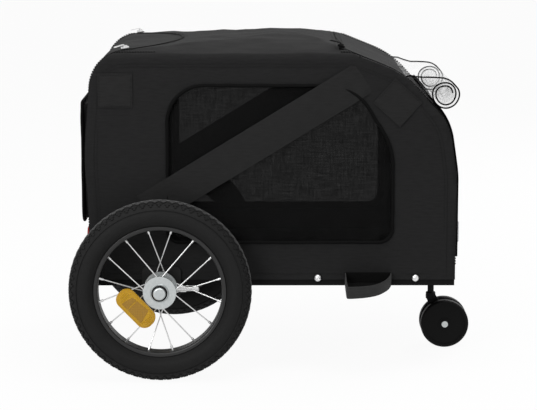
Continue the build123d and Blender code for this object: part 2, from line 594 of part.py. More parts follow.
# ---- nose caster --------------------------------------------------------------------------------------------
def caster():
    axle_x = CASTER_X + CASTER_TRAIL
    disc_in = CASTER_WEB / 2 + CASTER_GAP
    depth = CASTER_HALF_W - disc_in
    section = Pos(depth / 2, CASTER_R / 2) * Rectangle(depth, CASTER_R)
    section = fillet(section.vertices().sort_by(Axis.Y)[-2:], 5)
    section -= Pos(depth, CASTER_R * 0.42) * Rectangle(2.4, CASTER_R * 0.84)
    section -= Pos(depth / 2, 0) * Rectangle(2 * depth, 2 * (PIN_R + 0.02))
    section += Pos(depth / 2 - 0.6, PIN_R + 3) * Rectangle(depth + 1.2, 6 - 0.04)
    discs = [Pos(axle_x, s * disc_in, CASTER_R) * Rot(0, 0, 90 * s) * revolve(section, Axis.X) for s in (-1, 1)]
    keep("caster_wheels", *discs)
    half = CASTER_HALF_W + SEAT
    pin = rod((axle_x, -half, CASTER_R), (axle_x, half, CASTER_R), PIN_R)
    for s in (-1, 1):
        pin += rod((axle_x, s * half, CASTER_R), (axle_x, s * (half + PIN_HEAD_T), CASTER_R), PIN_HEAD_R)
    keep("caster_axle", pin)

    neck_z = 2 * CASTER_R
    web = wrapped_plate((axle_x, CASTER_R, PIN_R + 7), (CASTER_X, neck_z + 4, NECK_R), CASTER_WEB / 2)
    neck = rod((CASTER_X, 0, neck_z), (CASTER_X, 0, neck_z + NECK_L), NECK_R)
    neck = fillet(neck.faces().sort_by(Axis.Z)[-1].edges(), 2.5)
    stem = rod((CASTER_X, 0, neck_z + 4), (CASTER_X, 0, RAIL_LOW_Z - 2), STEM_R)
    hole = rod((axle_x, -20, CASTER_R), (axle_x, 20, CASTER_R), PIN_R + FIT)
    keep("caster_yoke", web + neck + stem - hole)

    top = RAIL_LOW_Z - SEAT
    socket = rod((CASTER_X, 0, top - SOCKET_L), (CASTER_X, 0, top), SOCKET_R)
    plate = box_between(CASTER_X - 28, FRONT_TUBE_X + 14, -32, 32, top - 3, top)
    plate = fillet(plate.edges().filter_by(Axis.Z), 6)
    bore = rod((CASTER_X, 0, 0), (CASTER_X, 0, FAR), STEM_R + FIT)
    keep("caster_bracket", socket + plate - bore)


def wrapped_plate(low, high, half):
    """A flat plate in the side view whose outline wraps round two circles, each (x, z, radius)."""
    (x0, z0, r0), (x1, z1, r1) = low, high
    length = math.hypot(x1 - x0, z1 - z0)
    ux, uz = (x1 - x0) / length, (z1 - z0) / length
    lean = (r0 - r1) / length
    across = math.sqrt(1 - lean**2)
    touch = []
    for s in (1, -1):
        nx = ux * lean - s * uz * across
        nz = uz * lean + s * ux * across
        touch.append(((x0 + nx * r0, z0 + nz * r0), (x1 + nx * r1, z1 + nz * r1)))
    (a, b), (d, c) = touch
    face = make_face(Polyline(a, b, c, d, close=True)) + Pos(x0, z0) * Circle(r0) + Pos(x1, z1) * Circle(r1)
    return extrude(SIDE_VIEW * face, half, both=True)


base_frame()
side_hoops()
floor()
axle_brackets()
tow_bracket()
side_cover()
end_covers()
door_fittings()
rain_cover()
side_trim()
wheel("right", -1)
wheel("left", 1)
caster()

os.makedirs("parts", exist_ok=True)
for node, shape in PARTS.items():
    export_step(Pos(-MID_X, 0, 0) * shape, f"parts/{node}.step")
print(len(PARTS), "nodes, middle x", MID_X)
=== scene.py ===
# %% [markdown]
# # A dog trailer for a bicycle
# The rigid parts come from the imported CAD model: tubes, hubs, spokes, brackets, the caster. This lesson gives them
# their finishes and makes what a CAD program is poor at: cloth, nets, stitching, zips, a rolled clear sheet, a
# padded mat and a tyre with knobs. Sizes are in millimetres from the wheel axle, as on a workshop drawing, and one
# helper turns them into Blender's metres.

# %% Load the frame
import bpy, bmesh, math
from mathutils import Matrix, Vector
from mathutils.bvhtree import BVHTree


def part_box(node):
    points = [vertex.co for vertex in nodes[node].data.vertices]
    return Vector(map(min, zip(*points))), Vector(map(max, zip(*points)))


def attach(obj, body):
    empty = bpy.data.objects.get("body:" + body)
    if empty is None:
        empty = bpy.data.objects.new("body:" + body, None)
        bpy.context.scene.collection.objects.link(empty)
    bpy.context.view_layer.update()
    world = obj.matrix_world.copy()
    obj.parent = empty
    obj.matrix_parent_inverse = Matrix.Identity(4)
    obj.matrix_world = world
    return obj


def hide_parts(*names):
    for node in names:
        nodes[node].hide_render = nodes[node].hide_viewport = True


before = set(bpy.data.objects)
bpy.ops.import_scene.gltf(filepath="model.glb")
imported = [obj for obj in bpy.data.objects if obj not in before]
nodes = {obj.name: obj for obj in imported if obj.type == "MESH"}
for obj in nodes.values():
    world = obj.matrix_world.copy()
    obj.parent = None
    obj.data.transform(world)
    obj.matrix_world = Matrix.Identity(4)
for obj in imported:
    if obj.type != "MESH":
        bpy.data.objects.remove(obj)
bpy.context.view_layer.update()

scene = bpy.context.scene
scene.view_settings.view_transform = "Standard"

# %% [markdown]
# The wheel axle is not the middle of the footprint, so drawing places are shifted by that distance. The cabin's
# half width and the wheels' places are measured on the CAD nodes rather than typed again.

# %% Drawing places
AXLE = (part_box("tyre_right")[0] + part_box("tyre_right")[1]) / 2
SHIFT = -AXLE.x * 1000
SIDE = -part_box("side_panel_right")[0].y * 1000
TRACK = -AXLE.y * 1000
HEM, EAVE, REAR, FRONT = 157.5, 531.0, -114.0, 487.0


def at(x, y, z):
    """A place on the drawing, in metres."""
    return Vector((x - SHIFT, y, z)) / 1000


print("axle", AXLE, "cabin half width", SIDE, "half track", TRACK)

# %% [markdown]
# The camera stands a little above the roof, more than three metres away, and looks slightly down on the right
# side with a long lens. The lamps are large and soft: one above, one over the near side, one behind. The floor is
# pale and keeps the shadow, and the background is white to the camera, to reflections and to clear pieces.

# %% Camera
cam_data = bpy.data.cameras.new("camera")
cam_data.sensor_width, cam_data.lens = 36, 135.55
camera = bpy.data.objects.new("camera", cam_data)
scene.collection.objects.link(camera)
camera.location = Vector((AXLE.x + 0.171, AXLE.y - 3.241, AXLE.z + 0.678))
camera.rotation_euler = (math.radians(90 - 9.4), 0, math.radians(-0.11))
scene.camera = camera
print("camera at", camera.location)

# %% Lamps and world


def softbox(name, place, aim, size, power):
    lamp = bpy.data.lights.new(name, "AREA")
    lamp.shape, lamp.size, lamp.energy = "DISK", size, power
    box = bpy.data.objects.new(name, lamp)
    scene.collection.objects.link(box)
    box.location = place
    box.rotation_euler = (Vector(aim) - Vector(place)).to_track_quat("-Z", "Y").to_euler()


def seen_by(tree):
    """One for the camera, for reflections and through clear pieces, nought for all other rays."""
    path = tree.nodes.new("ShaderNodeLightPath")
    seen = path.outputs["Is Camera Ray"]
    for ray in ("Is Glossy Ray", "Is Transmission Ray"):
        most = tree.nodes.new("ShaderNodeMath")
        most.operation = "MAXIMUM"
        tree.links.new(seen, most.inputs[0])
        tree.links.new(path.outputs[ray], most.inputs[1])
        seen = most.outputs[0]
    return seen


softbox("lamp_above", (0.2, -0.6, 2.6), (0, 0, 0.3), 1.8, 29)
softbox("lamp_near_side", (-1.6, -2.6, 1.5), (0, 0, 0.3), 1.4, 37)
softbox("lamp_behind", (1.6, 2.0, 1.6), (0, 0, 0.3), 1.4, 22)

world = bpy.data.worlds.new("studio")
scene.world = world
world.use_nodes = True
tree = world.node_tree
back = tree.nodes["Background"]
back.inputs["Color"].default_value = (1, 1, 1, 1)
seen = seen_by(tree)
level = tree.nodes.new("ShaderNodeMapRange")
level.inputs["To Min"].default_value = 0.45
level.inputs["To Max"].default_value = 1.0
tree.links.new(seen, level.inputs["Value"])
tree.links.new(level.outputs[0], back.inputs["Strength"])
print("three lamps and the world are set")

# %% Floor
bpy.ops.mesh.primitive_plane_add(size=30, location=(0, 0, -0.0005))
floor = bpy.context.object
floor.name = "studio_floor"
pale = bpy.data.materials.new("studio_floor")
pale.use_nodes = True
tree = pale.node_tree
shade = tree.nodes["Principled BSDF"]
shade.inputs["Base Color"].default_value = (0.86, 0.86, 0.86, 1)
shade.inputs["Roughness"].default_value = 0.9
glow = tree.nodes.new("ShaderNodeEmission")
glow.inputs["Strength"].default_value = 1.0
seen = seen_by(tree)
share = tree.nodes.new("ShaderNodeMath")
share.operation = "MULTIPLY"
share.inputs[1].default_value = 0.94
tree.links.new(seen, share.inputs[0])
mix = tree.nodes.new("ShaderNodeMixShader")
tree.links.new(share.outputs[0], mix.inputs[0])
tree.links.new(shade.outputs[0], mix.inputs[1])
tree.links.new(glow.outputs[0], mix.inputs[2])
tree.links.new(mix.outputs[0], tree.nodes["Material Output"].inputs["Surface"])
floor.data.materials.append(pale)
print("floor is in")

# %% [markdown]
# ## Finishes
# Every finish starts from the Principled shader. A small helper makes it with its uniform numbers, and a second
# one lays a grain over it: a noise that changes the colour slightly and raises a fine relief. Real surfaces are
# never one flat colour, so even paint gets a trace of both.

# %% Finish helpers


def finish(name, colour, rough, metal=0.0, **more):
    """A Principled material with its uniform numbers."""
    mat = bpy.data.materials.new(name)
    mat.use_nodes = True
    shader = mat.node_tree.nodes["Principled BSDF"]
    shader.inputs["Base Color"].default_value = (*colour, 1)
    shader.inputs["Roughness"].default_value = rough
    shader.inputs["Metallic"].default_value = metal
    for socket, value in more.items():
        shader.inputs[socket.replace("_", " ")].default_value = value
    return mat


def node(mat, kind, **sockets):
    """A node of that kind with its inputs set."""
    made = mat.node_tree.nodes.new(kind)
    for socket, value in sockets.items():
        made.inputs[socket.replace("_", " ")].default_value = value
    return made


def join(mat, out, into):
    mat.node_tree.links.new(out, into)


def coords(mat, kind="Object", stretch=(1, 1, 1)):
    """Coordinates in metres, stretched so that a grain can run one way."""
    source = node(mat, "ShaderNodeTexCoord")
    mapping = node(mat, "ShaderNodeMapping", Scale=stretch)
    join(mat, source.outputs[kind], mapping.inputs["Vector"])
    return mapping.outputs[0]


def colour_sockets(sockets):
    """A mix node has sockets for numbers, vectors and colours; these are the colours."""
    return [s for s in sockets if s.type == "RGBA"]


def shade_by(mat, value, dark, light):
    """The colour runs from dark to light with the value."""
    ramp = node(mat, "ShaderNodeMix")
    ramp.data_type = "RGBA"
    first, second = colour_sockets(ramp.inputs)
    first.default_value, second.default_value = (*dark, 1), (*light, 1)
    join(mat, value, ramp.inputs["Factor"])
    join(mat, colour_sockets(ramp.outputs)[0], mat.node_tree.nodes["Principled BSDF"].inputs["Base Color"])


def relief(mat, value, depth):
    """A relief of that depth in metres."""
    bump = node(mat, "ShaderNodeBump", Strength=1.0, Distance=depth)
    join(mat, value, bump.inputs["Height"])
    shader = mat.node_tree.nodes["Principled BSDF"]
    if shader.inputs["Normal"].is_linked:
        join(mat, shader.inputs["Normal"].links[0].from_socket, bump.inputs["Normal"])
    join(mat, bump.outputs[0], shader.inputs["Normal"])


def grain(mat, scale, dark, light, depth, kind="Object", stretch=(1, 1, 1)):
    """A cloudy variation of colour with a fine relief."""
    noise = node(mat, "ShaderNodeTexNoise", Scale=scale, Detail=5.0)
    join(mat, coords(mat, kind, stretch), noise.inputs["Vector"])
    shade_by(mat, noise.outputs["Fac"], dark, light)
    relief(mat, noise.outputs["Fac"], depth)
    return mat


def weave(mat, thread, dark, light, depth):
    """Warp and weft that cross at right angles, with slubs, on the cloth's own UV map in metres."""
    waves = []
    for direction in "XY":
        wave = node(mat, "ShaderNodeTexWave", Scale=math.pi / 10 / thread, Distortion=0.6, Detail=1.0)
        wave.bands_direction = direction
        join(mat, coords(mat, "UV"), wave.inputs["Vector"])
        waves.append(wave.outputs["Fac"])
    cross = node(mat, "ShaderNodeMath")
    cross.operation = "MAXIMUM"
    join(mat, waves[0], cross.inputs[0])
    join(mat, waves[1], cross.inputs[1])
    slubs = node(mat, "ShaderNodeTexNoise", Scale=60.0, Detail=4.0)
    join(mat, coords(mat, "UV", (1, 6, 1)), slubs.inputs["Vector"])
    both = node(mat, "ShaderNodeMath")
    both.operation = "MULTIPLY_ADD"
    both.inputs[1].default_value = 0.35
    join(mat, cross.outputs[0], both.inputs[0])
    join(mat, slubs.outputs["Fac"], both.inputs[2])
    shade_by(mat, both.outputs[0], dark, light)
    relief(mat, cross.outputs[0], depth)
    return mat


print("finish helpers are ready")

# %% [markdown]
# Cloth: the cover is a coated polyester whose weave shows faintly and sheds a soft sheen. The second layer, the
# webbing and the bindings are darker and coarser. Paint, plating and rubber follow, each with its own grain.

# %% Cloth and trim finishes
cover = weave(finish("cover_cloth", (0.01, 0.01, 0.01), 0.85, Specular_IOR_Level=0.09, Sheen_Weight=0.015),
              0.0009, (0.0072, 0.0072, 0.0073), (0.0170, 0.0170, 0.0172), 0.00010)
second = weave(finish("second_layer", (0.01, 0.01, 0.01), 0.85, Specular_IOR_Level=0.09, Sheen_Weight=0.015),
               0.0009, (0.0088, 0.0088, 0.0088), (0.0205, 0.0205, 0.0205), 0.00010)
webbing = weave(finish("webbing", (0.02, 0.02, 0.02), 0.75, Specular_IOR_Level=0.2, Sheen_Weight=0.05), 0.0016,
                (0.010, 0.010, 0.010), (0.029, 0.029, 0.029), 0.0004)
binding = weave(finish("black_binding", (0.004, 0.004, 0.004), 0.8, Specular_IOR_Level=0.08), 0.0007,
                (0.0008, 0.0008, 0.0008), (0.0035, 0.0035, 0.0035), 0.0001)
base_cloth = weave(finish("coated_base_cloth", (0.004, 0.004, 0.004), 0.7, Specular_IOR_Level=0.1), 0.0011,
                   (0.0012, 0.0012, 0.0012), (0.0040, 0.0040, 0.0040), 0.0001)
mat_cloth = weave(finish("mat_cloth", (0.01, 0.01, 0.01), 0.85, Specular_IOR_Level=0.15), 0.0013,
                  (0.005, 0.005, 0.005), (0.011, 0.011, 0.011), 0.0003)
thread = grain(finish("thread", (0.01, 0.01, 0.01), 0.7, Specular_IOR_Level=0.2), 900,
               (0.0006, 0.0006, 0.0006), (0.0030, 0.0030, 0.0030), 0.0001)
print("cloth finishes:", [m.name for m in (cover, second, webbing, binding, base_cloth, mat_cloth, thread)])

# %% Net finish
net = finish("window_net", (0.004, 0.004, 0.004), 0.85, Specular_IOR_Level=0.1)
strands = []
for stretch in ((500, 34, 1), (34, 500, 1)):
    strand = node(net, "ShaderNodeTexNoise", Scale=1.0, Detail=3.0)
    join(net, coords(net, "UV", stretch), strand.inputs["Vector"])
    strands.append(strand.outputs["Fac"])
mesh_lines = node(net, "ShaderNodeMath")
mesh_lines.operation = "MULTIPLY"
join(net, strands[0], mesh_lines.inputs[0])
join(net, strands[1], mesh_lines.inputs[1])
thinness = node(net, "ShaderNodeMapRange")
thinness.inputs["From Min"].default_value, thinness.inputs["From Max"].default_value = 0.12, 0.40
thinness.inputs["To Min"].default_value, thinness.inputs["To Max"].default_value = 0.955, 0.845
join(net, mesh_lines.outputs[0], thinness.inputs["Value"])
join(net, thinness.outputs[0], net.node_tree.nodes["Principled BSDF"].inputs["Alpha"])
shade_by(net, mesh_lines.outputs[0], (0.0015, 0.0015, 0.0015), (0.0090, 0.0090, 0.0090))
relief(net, mesh_lines.outputs[0], 0.0003)
print("net finish, between", *[thinness.inputs[s].default_value for s in ("To Max", "To Min")], "solid")

# %% Paint, plating, rubber and plastic finishes
paint = grain(finish("black_powder_coat", (0.004, 0.004, 0.004), 0.5, Specular_IOR_Level=0.25), 500,
              (0.002, 0.002, 0.002), (0.006, 0.006, 0.006), 0.00008)
rim_paint = grain(finish("gloss_black_rim", (0.01, 0.01, 0.01), 0.35, Specular_IOR_Level=0.4), 160,
                  (0.007, 0.007, 0.007), (0.014, 0.014, 0.014), 0.00003)
zinc = grain(finish("zinc_plate", (0.5, 0.52, 0.52), 0.36, 0.85), 220,
             (0.42, 0.45, 0.45), (0.60, 0.62, 0.62), 0.00004)
bright = grain(finish("bright_steel", (0.7, 0.7, 0.7), 0.28, 0.9), 300,
               (0.62, 0.62, 0.62), (0.80, 0.80, 0.80), 0.00003)
rubber = grain(finish("tyre_rubber", (0.01, 0.01, 0.01), 0.7, Specular_IOR_Level=0.14), 240,
               (0.0075, 0.0075, 0.0075), (0.0130, 0.0130, 0.0130), 0.0001)
plastic = grain(finish("black_plastic", (0.004, 0.004, 0.004), 0.5, Specular_IOR_Level=0.09), 420,
                (0.0020, 0.0020, 0.0020), (0.0048, 0.0048, 0.0048), 0.00006)
board = grain(finish("coated_board", (0.004, 0.004, 0.004), 0.6, Specular_IOR_Level=0.1), 300,
              (0.0012, 0.0012, 0.0012), (0.0040, 0.0040, 0.0040), 0.00008)
seal = grain(finish("black_seal", (0.01, 0.01, 0.01), 0.6, Specular_IOR_Level=0.15), 400,
             (0.002, 0.002, 0.002), (0.006, 0.006, 0.006), 0.00005)
print("hard finishes are ready")


# %% Reflector and clear-sheet finishes


def prism(name, dark, light, pitch=0.0028):
    """A lens whose back is a grid of small pyramids."""
    mat = finish(name, light, 0.22, Specular_IOR_Level=0.4)
    cells = node(mat, "ShaderNodeTexVoronoi", Scale=1 / pitch, Randomness=0.0)
    join(mat, coords(mat), cells.inputs["Vector"])
    shade_by(mat, cells.outputs["Distance"], light, dark)
    relief(mat, cells.outputs["Distance"], 0.0003)
    return mat


amber = prism("amber_lens", (0.36, 0.17, 0.001), (0.60, 0.36, 0.003))
amber_core = prism("amber_core", (0.23, 0.11, 0.006), (0.37, 0.20, 0.014))
red = prism("red_lens", (0.10, 0.004, 0.004), (0.42, 0.012, 0.012))
white = prism("clear_lens", (0.42, 0.43, 0.44), (0.86, 0.87, 0.88))
vinyl = finish("clear_vinyl", (0.9, 0.9, 0.9), 0.15, Specular_IOR_Level=0.5)
crumple = node(vinyl, "ShaderNodeTexNoise", Scale=34.0, Detail=4.0, Distortion=1.6)
join(vinyl, coords(vinyl, "UV"), crumple.inputs["Vector"])
cloudy = node(vinyl, "ShaderNodeMapRange")
cloudy.inputs["From Min"].default_value, cloudy.inputs["From Max"].default_value = 0.38, 0.68
cloudy.inputs["To Min"].default_value, cloudy.inputs["To Max"].default_value = 0.08, 0.42
join(vinyl, crumple.outputs["Fac"], cloudy.inputs["Value"])
join(vinyl, cloudy.outputs[0], vinyl.node_tree.nodes["Principled BSDF"].inputs["Alpha"])
shade_by(vinyl, crumple.outputs["Fac"], (0.95, 0.95, 0.95), (0.45, 0.46, 0.46))
relief(vinyl, crumple.outputs["Fac"], 0.003)
print("lenses and vinyl are ready")

# %% [markdown]
# ## Hands and tools
# The next helpers are the moves of a modeller: select one object alone, pick faces or edges by their place, apply
# a modifier, and settle a finished piece, which gives it a name, a finish, the body that it rides on and the CAD
# node that it stands for. Everything is deselected first, because the loaded CAD nodes arrive selected.

# %% Modelling helpers


def alone(*objs):
    if bpy.context.mode != "OBJECT":
        bpy.ops.object.mode_set(mode="OBJECT")
    bpy.ops.object.select_all(action="DESELECT")
    for obj in objs:
        obj.select_set(True)
    bpy.context.view_layer.objects.active = objs[-1]
    return objs[-1]


def edit(obj, test=None, kind="FACE"):
    """Edit mode, with the faces, edges or vertices that pass the test selected, or all of them."""
    alone(obj)
    bpy.ops.object.mode_set(mode="EDIT")
    bpy.ops.mesh.select_mode(type=kind)
    bpy.ops.mesh.select_all(action="SELECT" if test is None else "DESELECT")
    if test:
        mesh = bmesh.from_edit_mesh(obj.data)
        for item in {"FACE": mesh.faces, "EDGE": mesh.edges, "VERT": mesh.verts}[kind]:
            item.select = bool(test(item))
        mesh.select_flush_mode()
        bmesh.update_edit_mesh(obj.data)


def middle(item):
    """The middle of a face or an edge."""
    return sum((v.co for v in item.verts), Vector()) / len(item.verts)


def change(obj, kind, **settings):
    """Adds a modifier and applies it."""
    alone(obj)
    mod = obj.modifiers.new(kind.lower(), kind)
    for key, value in settings.items():
        setattr(mod, key, value)
    bpy.ops.object.modifier_apply(modifier=mod.name)
    return obj


def set_down(obj):
    """Puts the object's place, turn and size into its mesh."""
    alone(obj)
    bpy.ops.object.transform_apply(location=True, rotation=True, scale=True)
    return obj


def smooth(obj, degrees=35):
    alone(obj)
    bpy.ops.object.shade_smooth_by_angle(angle=math.radians(degrees))
    return obj


def spread(obj):
    """A UV map in metres, for the weave."""
    edit(obj)
    bpy.ops.uv.cube_project(cube_size=1.0, correct_aspect=False, scale_to_bounds=False)
    bpy.ops.object.mode_set(mode="OBJECT")


def settle(obj, name, body, mat, slot, *stands_for):
    """The last step of each piece: its name, finish, body and the CAD nodes that it stands for; slot is not used."""
    set_down(obj)
    if obj.type == "MESH" and not obj.data.uv_layers:
        spread(obj)
    obj.name = obj.data.name = name
    obj.data.materials.append(mat)
    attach(obj, body)
    if stands_for:
        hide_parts(*stands_for)
    return obj


def joined(*objs):
    alone(*objs)
    bpy.ops.object.join()
    return bpy.context.object


def block(size, place, bevel=0.0, segments=2):
    """A box of that size and place in metres, with softened edges."""
    bpy.ops.mesh.primitive_cube_add(size=1, location=place)
    obj = bpy.context.object
    obj.scale = size
    set_down(obj)
    if bevel:
        edit(obj, None, "EDGE")
        bpy.ops.mesh.bevel(offset=bevel, segments=segments, affect="EDGES")
        bpy.ops.object.mode_set(mode="OBJECT")
    return obj


def repeat(unit, places, name):
    """Copies of one small piece, at each of the places, as one mesh."""
    mesh = bmesh.new()
    for place in places:
        copy = unit.data.copy()
        copy.transform(place)
        mesh.from_mesh(copy)
        bpy.data.meshes.remove(copy)
    data = bpy.data.meshes.new(name)
    mesh.to_mesh(data)
    mesh.free()
    obj = bpy.data.objects.new(name, data)
    scene.collection.objects.link(obj)
    bpy.data.objects.remove(unit)
    return obj


def mirror_of(obj):
    """The same piece on the other side, with its faces turned the right way out."""
    twin = bpy.data.objects.new(obj.name + "_twin", obj.data.copy())
    scene.collection.objects.link(twin)
    twin.data.materials.clear()
    twin.scale = (1, -1, 1)
    set_down(twin)
    edit(twin)
    bpy.ops.mesh.normals_make_consistent(inside=False)
    bpy.ops.object.mode_set(mode="OBJECT")
    return twin


print("helpers are ready")

# %% [markdown]
# ## Lines on the cover
# Seams, zips and stitches follow the cover, so their lines are drawn once: a walk along a line at an even pitch,
# a frame at each step, and rays that ask the CAD skin where its outside is. The tree of the skin is made now,
# before any node is replaced.

# %% Line helpers


def line_frames(points, ups, pitch, closed=False, start=0.0):
    """A matrix at each step: x along the line, z out of the cloth."""
    spots = list(points) + ([points[0]] if closed else [])
    outs = list(ups) + ([ups[0]] if closed else [])
    lengths = [0.0]
    for a, b in zip(spots, spots[1:]):
        lengths.append(lengths[-1] + (b - a).length)
    frames, step, i = [], start, 0
    while step < lengths[-1] - pitch * 0.4:
        while lengths[i + 1] < step:
            i += 1
        share = (step - lengths[i]) / max(lengths[i + 1] - lengths[i], 1e-9)
        along = (spots[i + 1] - spots[i]).normalized()
        up = outs[i].lerp(outs[i + 1], share)
        up = (up - along * up.dot(along)).normalized()
        turn = Matrix((along, up.cross(along), up)).transposed().to_4x4()
        frames.append(Matrix.Translation(spots[i].lerp(spots[i + 1], share)) @ turn)
        step += pitch
    return frames


def rounded(corners, radii, steps=14):
    """A flat line with each inner corner replaced by an arc, as (x, z) pairs."""
    line = [corners[0]]
    for before, corner, after, radius in zip(corners, corners[1:], corners[2:], radii):
        b, c, a = (Vector(p) for p in (before, corner, after))
        into, out = (b - c).normalized(), (a - c).normalized()
        half = into.angle(out) / 2
        reach = radius / math.tan(half)
        centre = c + (into + out).normalized() * (radius / math.sin(half))
        first, last = c + into * reach - centre, c + out * reach - centre
        for i in range(steps + 1):
            line.append(tuple(centre + first.slerp(last, i / steps).normalized() * radius))
    return line + [corners[-1]]


def inset(corners, radii, depth, base):
    """The same outline moved inwards, its two ends kept on the base level."""
    moved = [Vector(p) for p in corners]
    sides = [(b - a).normalized() for a, b in zip(moved, moved[1:])]
    inner = [Vector((s.y, -s.x)) for s in sides]
    rows = [(n, n.dot(p) + depth) for n, p in zip(inner, moved)]
    rows = [(Vector((0, 1)), base)] + rows + [(Vector((0, 1)), base)]
    out = []
    for (n, c), (m, d) in zip(rows, rows[1:]):
        det = n.x * m.y - n.y * m.x
        out.append(((c * m.y - d * n.y) / det, (n.x * d - m.x * c) / det))
    return rounded(out, [r - depth for r in radii])


print("line helpers are ready")

# %% Outlines of the side
NOSE = [(400, 499), (474, 418), (487, 330), (487, HEM)]
EAVE_CORNERS = [(REAR, HEM), (-125, 365), (-112, EAVE), (321.3, EAVE)] + NOSE
EAVE_RADII = [500, 55, 120, 150, 100, 150]


def seam_line(depth):
    """The side's seam, moved in from the silhouette."""
    return inset(EAVE_CORNERS, EAVE_RADII, depth, HEM)


def closed_line(corners, radii):
    """A closed outline with an arc at each corner."""
    count = len(corners)
    line = []
    for i, radius in enumerate(radii):
        trio = [corners[i - 1], corners[i], corners[(i + 1) % count]]
        line += rounded(trio, [radius])[1:-1]
    return line


WINDOW = closed_line([(11, 221), (11, 481), (318, 481), (382, 378), (382, 221)], [18, 60, 80, 110, 22])


def on_side(flat, out):
    """A flat line laid on the right side, so many millimetres outside it."""
    return [at(x, -SIDE - out, z) for x, z in flat]


skin_nodes = ("roof_panel", "rear_surround", "front_surround", "rear_door", "front_door")
corners, tris = [], []
for name in skin_nodes:
    mesh = nodes[name].data
    first = len(corners)
    corners += [v.co.copy() for v in mesh.vertices]
    tris += [[first + i for i in p.vertices] for p in mesh.polygons]
skin = BVHTree.FromPolygons(corners, tris)
print("side seam", len(seam_line(16)), "points; skin tree of", len(tris), "faces")


# %% Asking the skin


def ring(degrees, y):
    """Where the cover's outside is, seen along that angle in the plane y, and which way it faces."""
    centre = at(190, y, 340)
    for nudge in (0, 0.3, -0.3, 0.7, -0.7, 1.2, -1.2):
        turn = math.radians(degrees + nudge)
        way = Vector((math.cos(turn), 0, math.sin(turn)))
        place, normal, _, _ = skin.ray_cast(centre + way * 0.9, -way)
        if place and (place - centre).length > 0.12:
            break
    return place, normal if normal.dot(way) > 0 else -normal


def above(x, y):
    """Where the roof is over a place on the plan."""
    place, normal, _, _ = skin.ray_cast(at(x, y, 900), Vector((0, 0, -1)))
    return place, normal


print("roof middle at", [round(v, 4) for v in above(200, 0)[0]])

# %% [markdown]
# ## Cover panels
# Each panel of the cover is one cloth. The CAD gives it a wall of three millimetres, so a copy of the node is
# merged, only the faces that look outwards are kept, and the sheet is cut into a fine grid. Cloth between two
# seams is never quite flat: a slow noise lifts and sinks it by a millimetre or two, and fades out towards the
# seams, which hold it. The thickness is then given back inwards.

# %% Cloth panel helpers
from mathutils import noise, kdtree

HEART = Vector((0, 0, 0.33))


def outer_sheet(node_name, name):
    """The outward faces of a CAD node, as one merged sheet."""
    obj = bpy.data.objects.new(name, nodes[node_name].data.copy())
    scene.collection.objects.link(obj)
    obj.data.materials.clear()
    tree = BVHTree.FromObject(nodes[node_name], bpy.context.evaluated_depsgraph_get())
    sheet = bmesh.new()
    sheet.from_mesh(obj.data)
    bmesh.ops.remove_doubles(sheet, verts=sheet.verts, dist=1e-5)
    inner = []
    for face in sheet.faces:
        centre = face.calc_center_median()
        hit = tree.ray_cast(centre - face.normal * 1e-4, -face.normal, 0.0055)
        away = Vector((centre.x * 0.6, centre.y, centre.z - HEART.z))
        if hit[0] is None or face.normal.dot(away) < 0:
            inner.append(face)
    bmesh.ops.delete(sheet, geom=inner, context="FACES")
    sheet.to_mesh(obj.data)
    sheet.free()
    return obj


def grid_cut(obj, step, axes="xyz"):
    """Cuts a sheet along planes a step apart, so that it can bend."""
    sheet = bmesh.new()
    sheet.from_mesh(obj.data)
    low, high = [Vector(f(v.co[i] for v in sheet.verts) for i in range(3)) for f in (min, max)]
    for axis in axes:
        i = "xyz".index(axis)
        normal = Vector((axis == "x", axis == "y", axis == "z"))
        place = math.floor(low[i] / step) * step + step
        while place < high[i] - step / 8:
            bmesh.ops.bisect_plane(sheet, geom=sheet.verts[:] + sheet.edges[:] + sheet.faces[:],
                                   plane_co=normal * place, plane_no=normal, dist=1e-6)
            place += step
    bmesh.ops.dissolve_degenerate(sheet, dist=1e-5, edges=sheet.edges)
    sheet.to_mesh(obj.data)
    sheet.free()
    return obj


def hold(points):
    """A tree of the points where the cloth is held."""
    tree = kdtree.KDTree(len(points))
    for i, p in enumerate(points):
        tree.insert(p, i)
    tree.balance()
    return tree


def border(obj):
    """The open border of a sheet, as a tree of points."""
    sheet = bmesh.new()
    sheet.from_mesh(obj.data)
    points = [v.co.copy() for v in sheet.verts if v.is_boundary]
    sheet.free()
    return hold(points)


def billow(place, held, lift, reach=0.03):
    """How far the cloth stands off its flat shape there, in metres."""
    share = min(held.find(place)[2] / reach, 1)
    share = share * share * (3 - 2 * share)
    wave = noise.noise(place * 11 + Vector((3, 7, 1))) + 0.5 * noise.noise(place * 27)
    wave += 0.16 * noise.noise(place * 70)
    return share * lift * wave


def lift_sheet(obj, held, lift, reach=0.03):
    normals = [v.normal.copy() for v in obj.data.vertices]
    for vertex, normal in zip(obj.data.vertices, normals):
        vertex.co += normal * billow(vertex.co, held, lift, reach)
    obj.data.update()


def cover_panel(node_name, body, mat, slot, lift=0.0016, step=0.012, thick=0.0024, name=None):
    """A finished panel that replaces its CAD node."""
    obj = grid_cut(outer_sheet(node_name, node_name + "_sheet"), step)
    lift_sheet(obj, border(obj), lift)
    change(obj, "SOLIDIFY", thickness=thick, offset=-1, use_rim=True)
    spread(obj)
    smooth(obj, 50)
    settle(obj, name or node_name + "_cloth", body, mat, slot, node_name)
    return obj


# %% Side panels, roof and surrounds
held_side = {}
for side in ("right", "left"):
    flat = outer_sheet("side_panel_" + side, "held")
    held_side[side] = border(flat)
    bpy.data.objects.remove(flat)
for name in ("side_panel_right", "side_panel_left", "roof_panel", "rear_surround", "front_surround"):
    cover_panel(name, "chassis", cover, "cover_fabric", lift=0.0018 if "side" in name else 0.003)

# %% Doors
for name, body in (("rear_door", "rear_door_leaf"), ("front_door", "front_door_leaf")):
    cover_panel(name, body, cover, "cover_fabric", lift=0.0025)

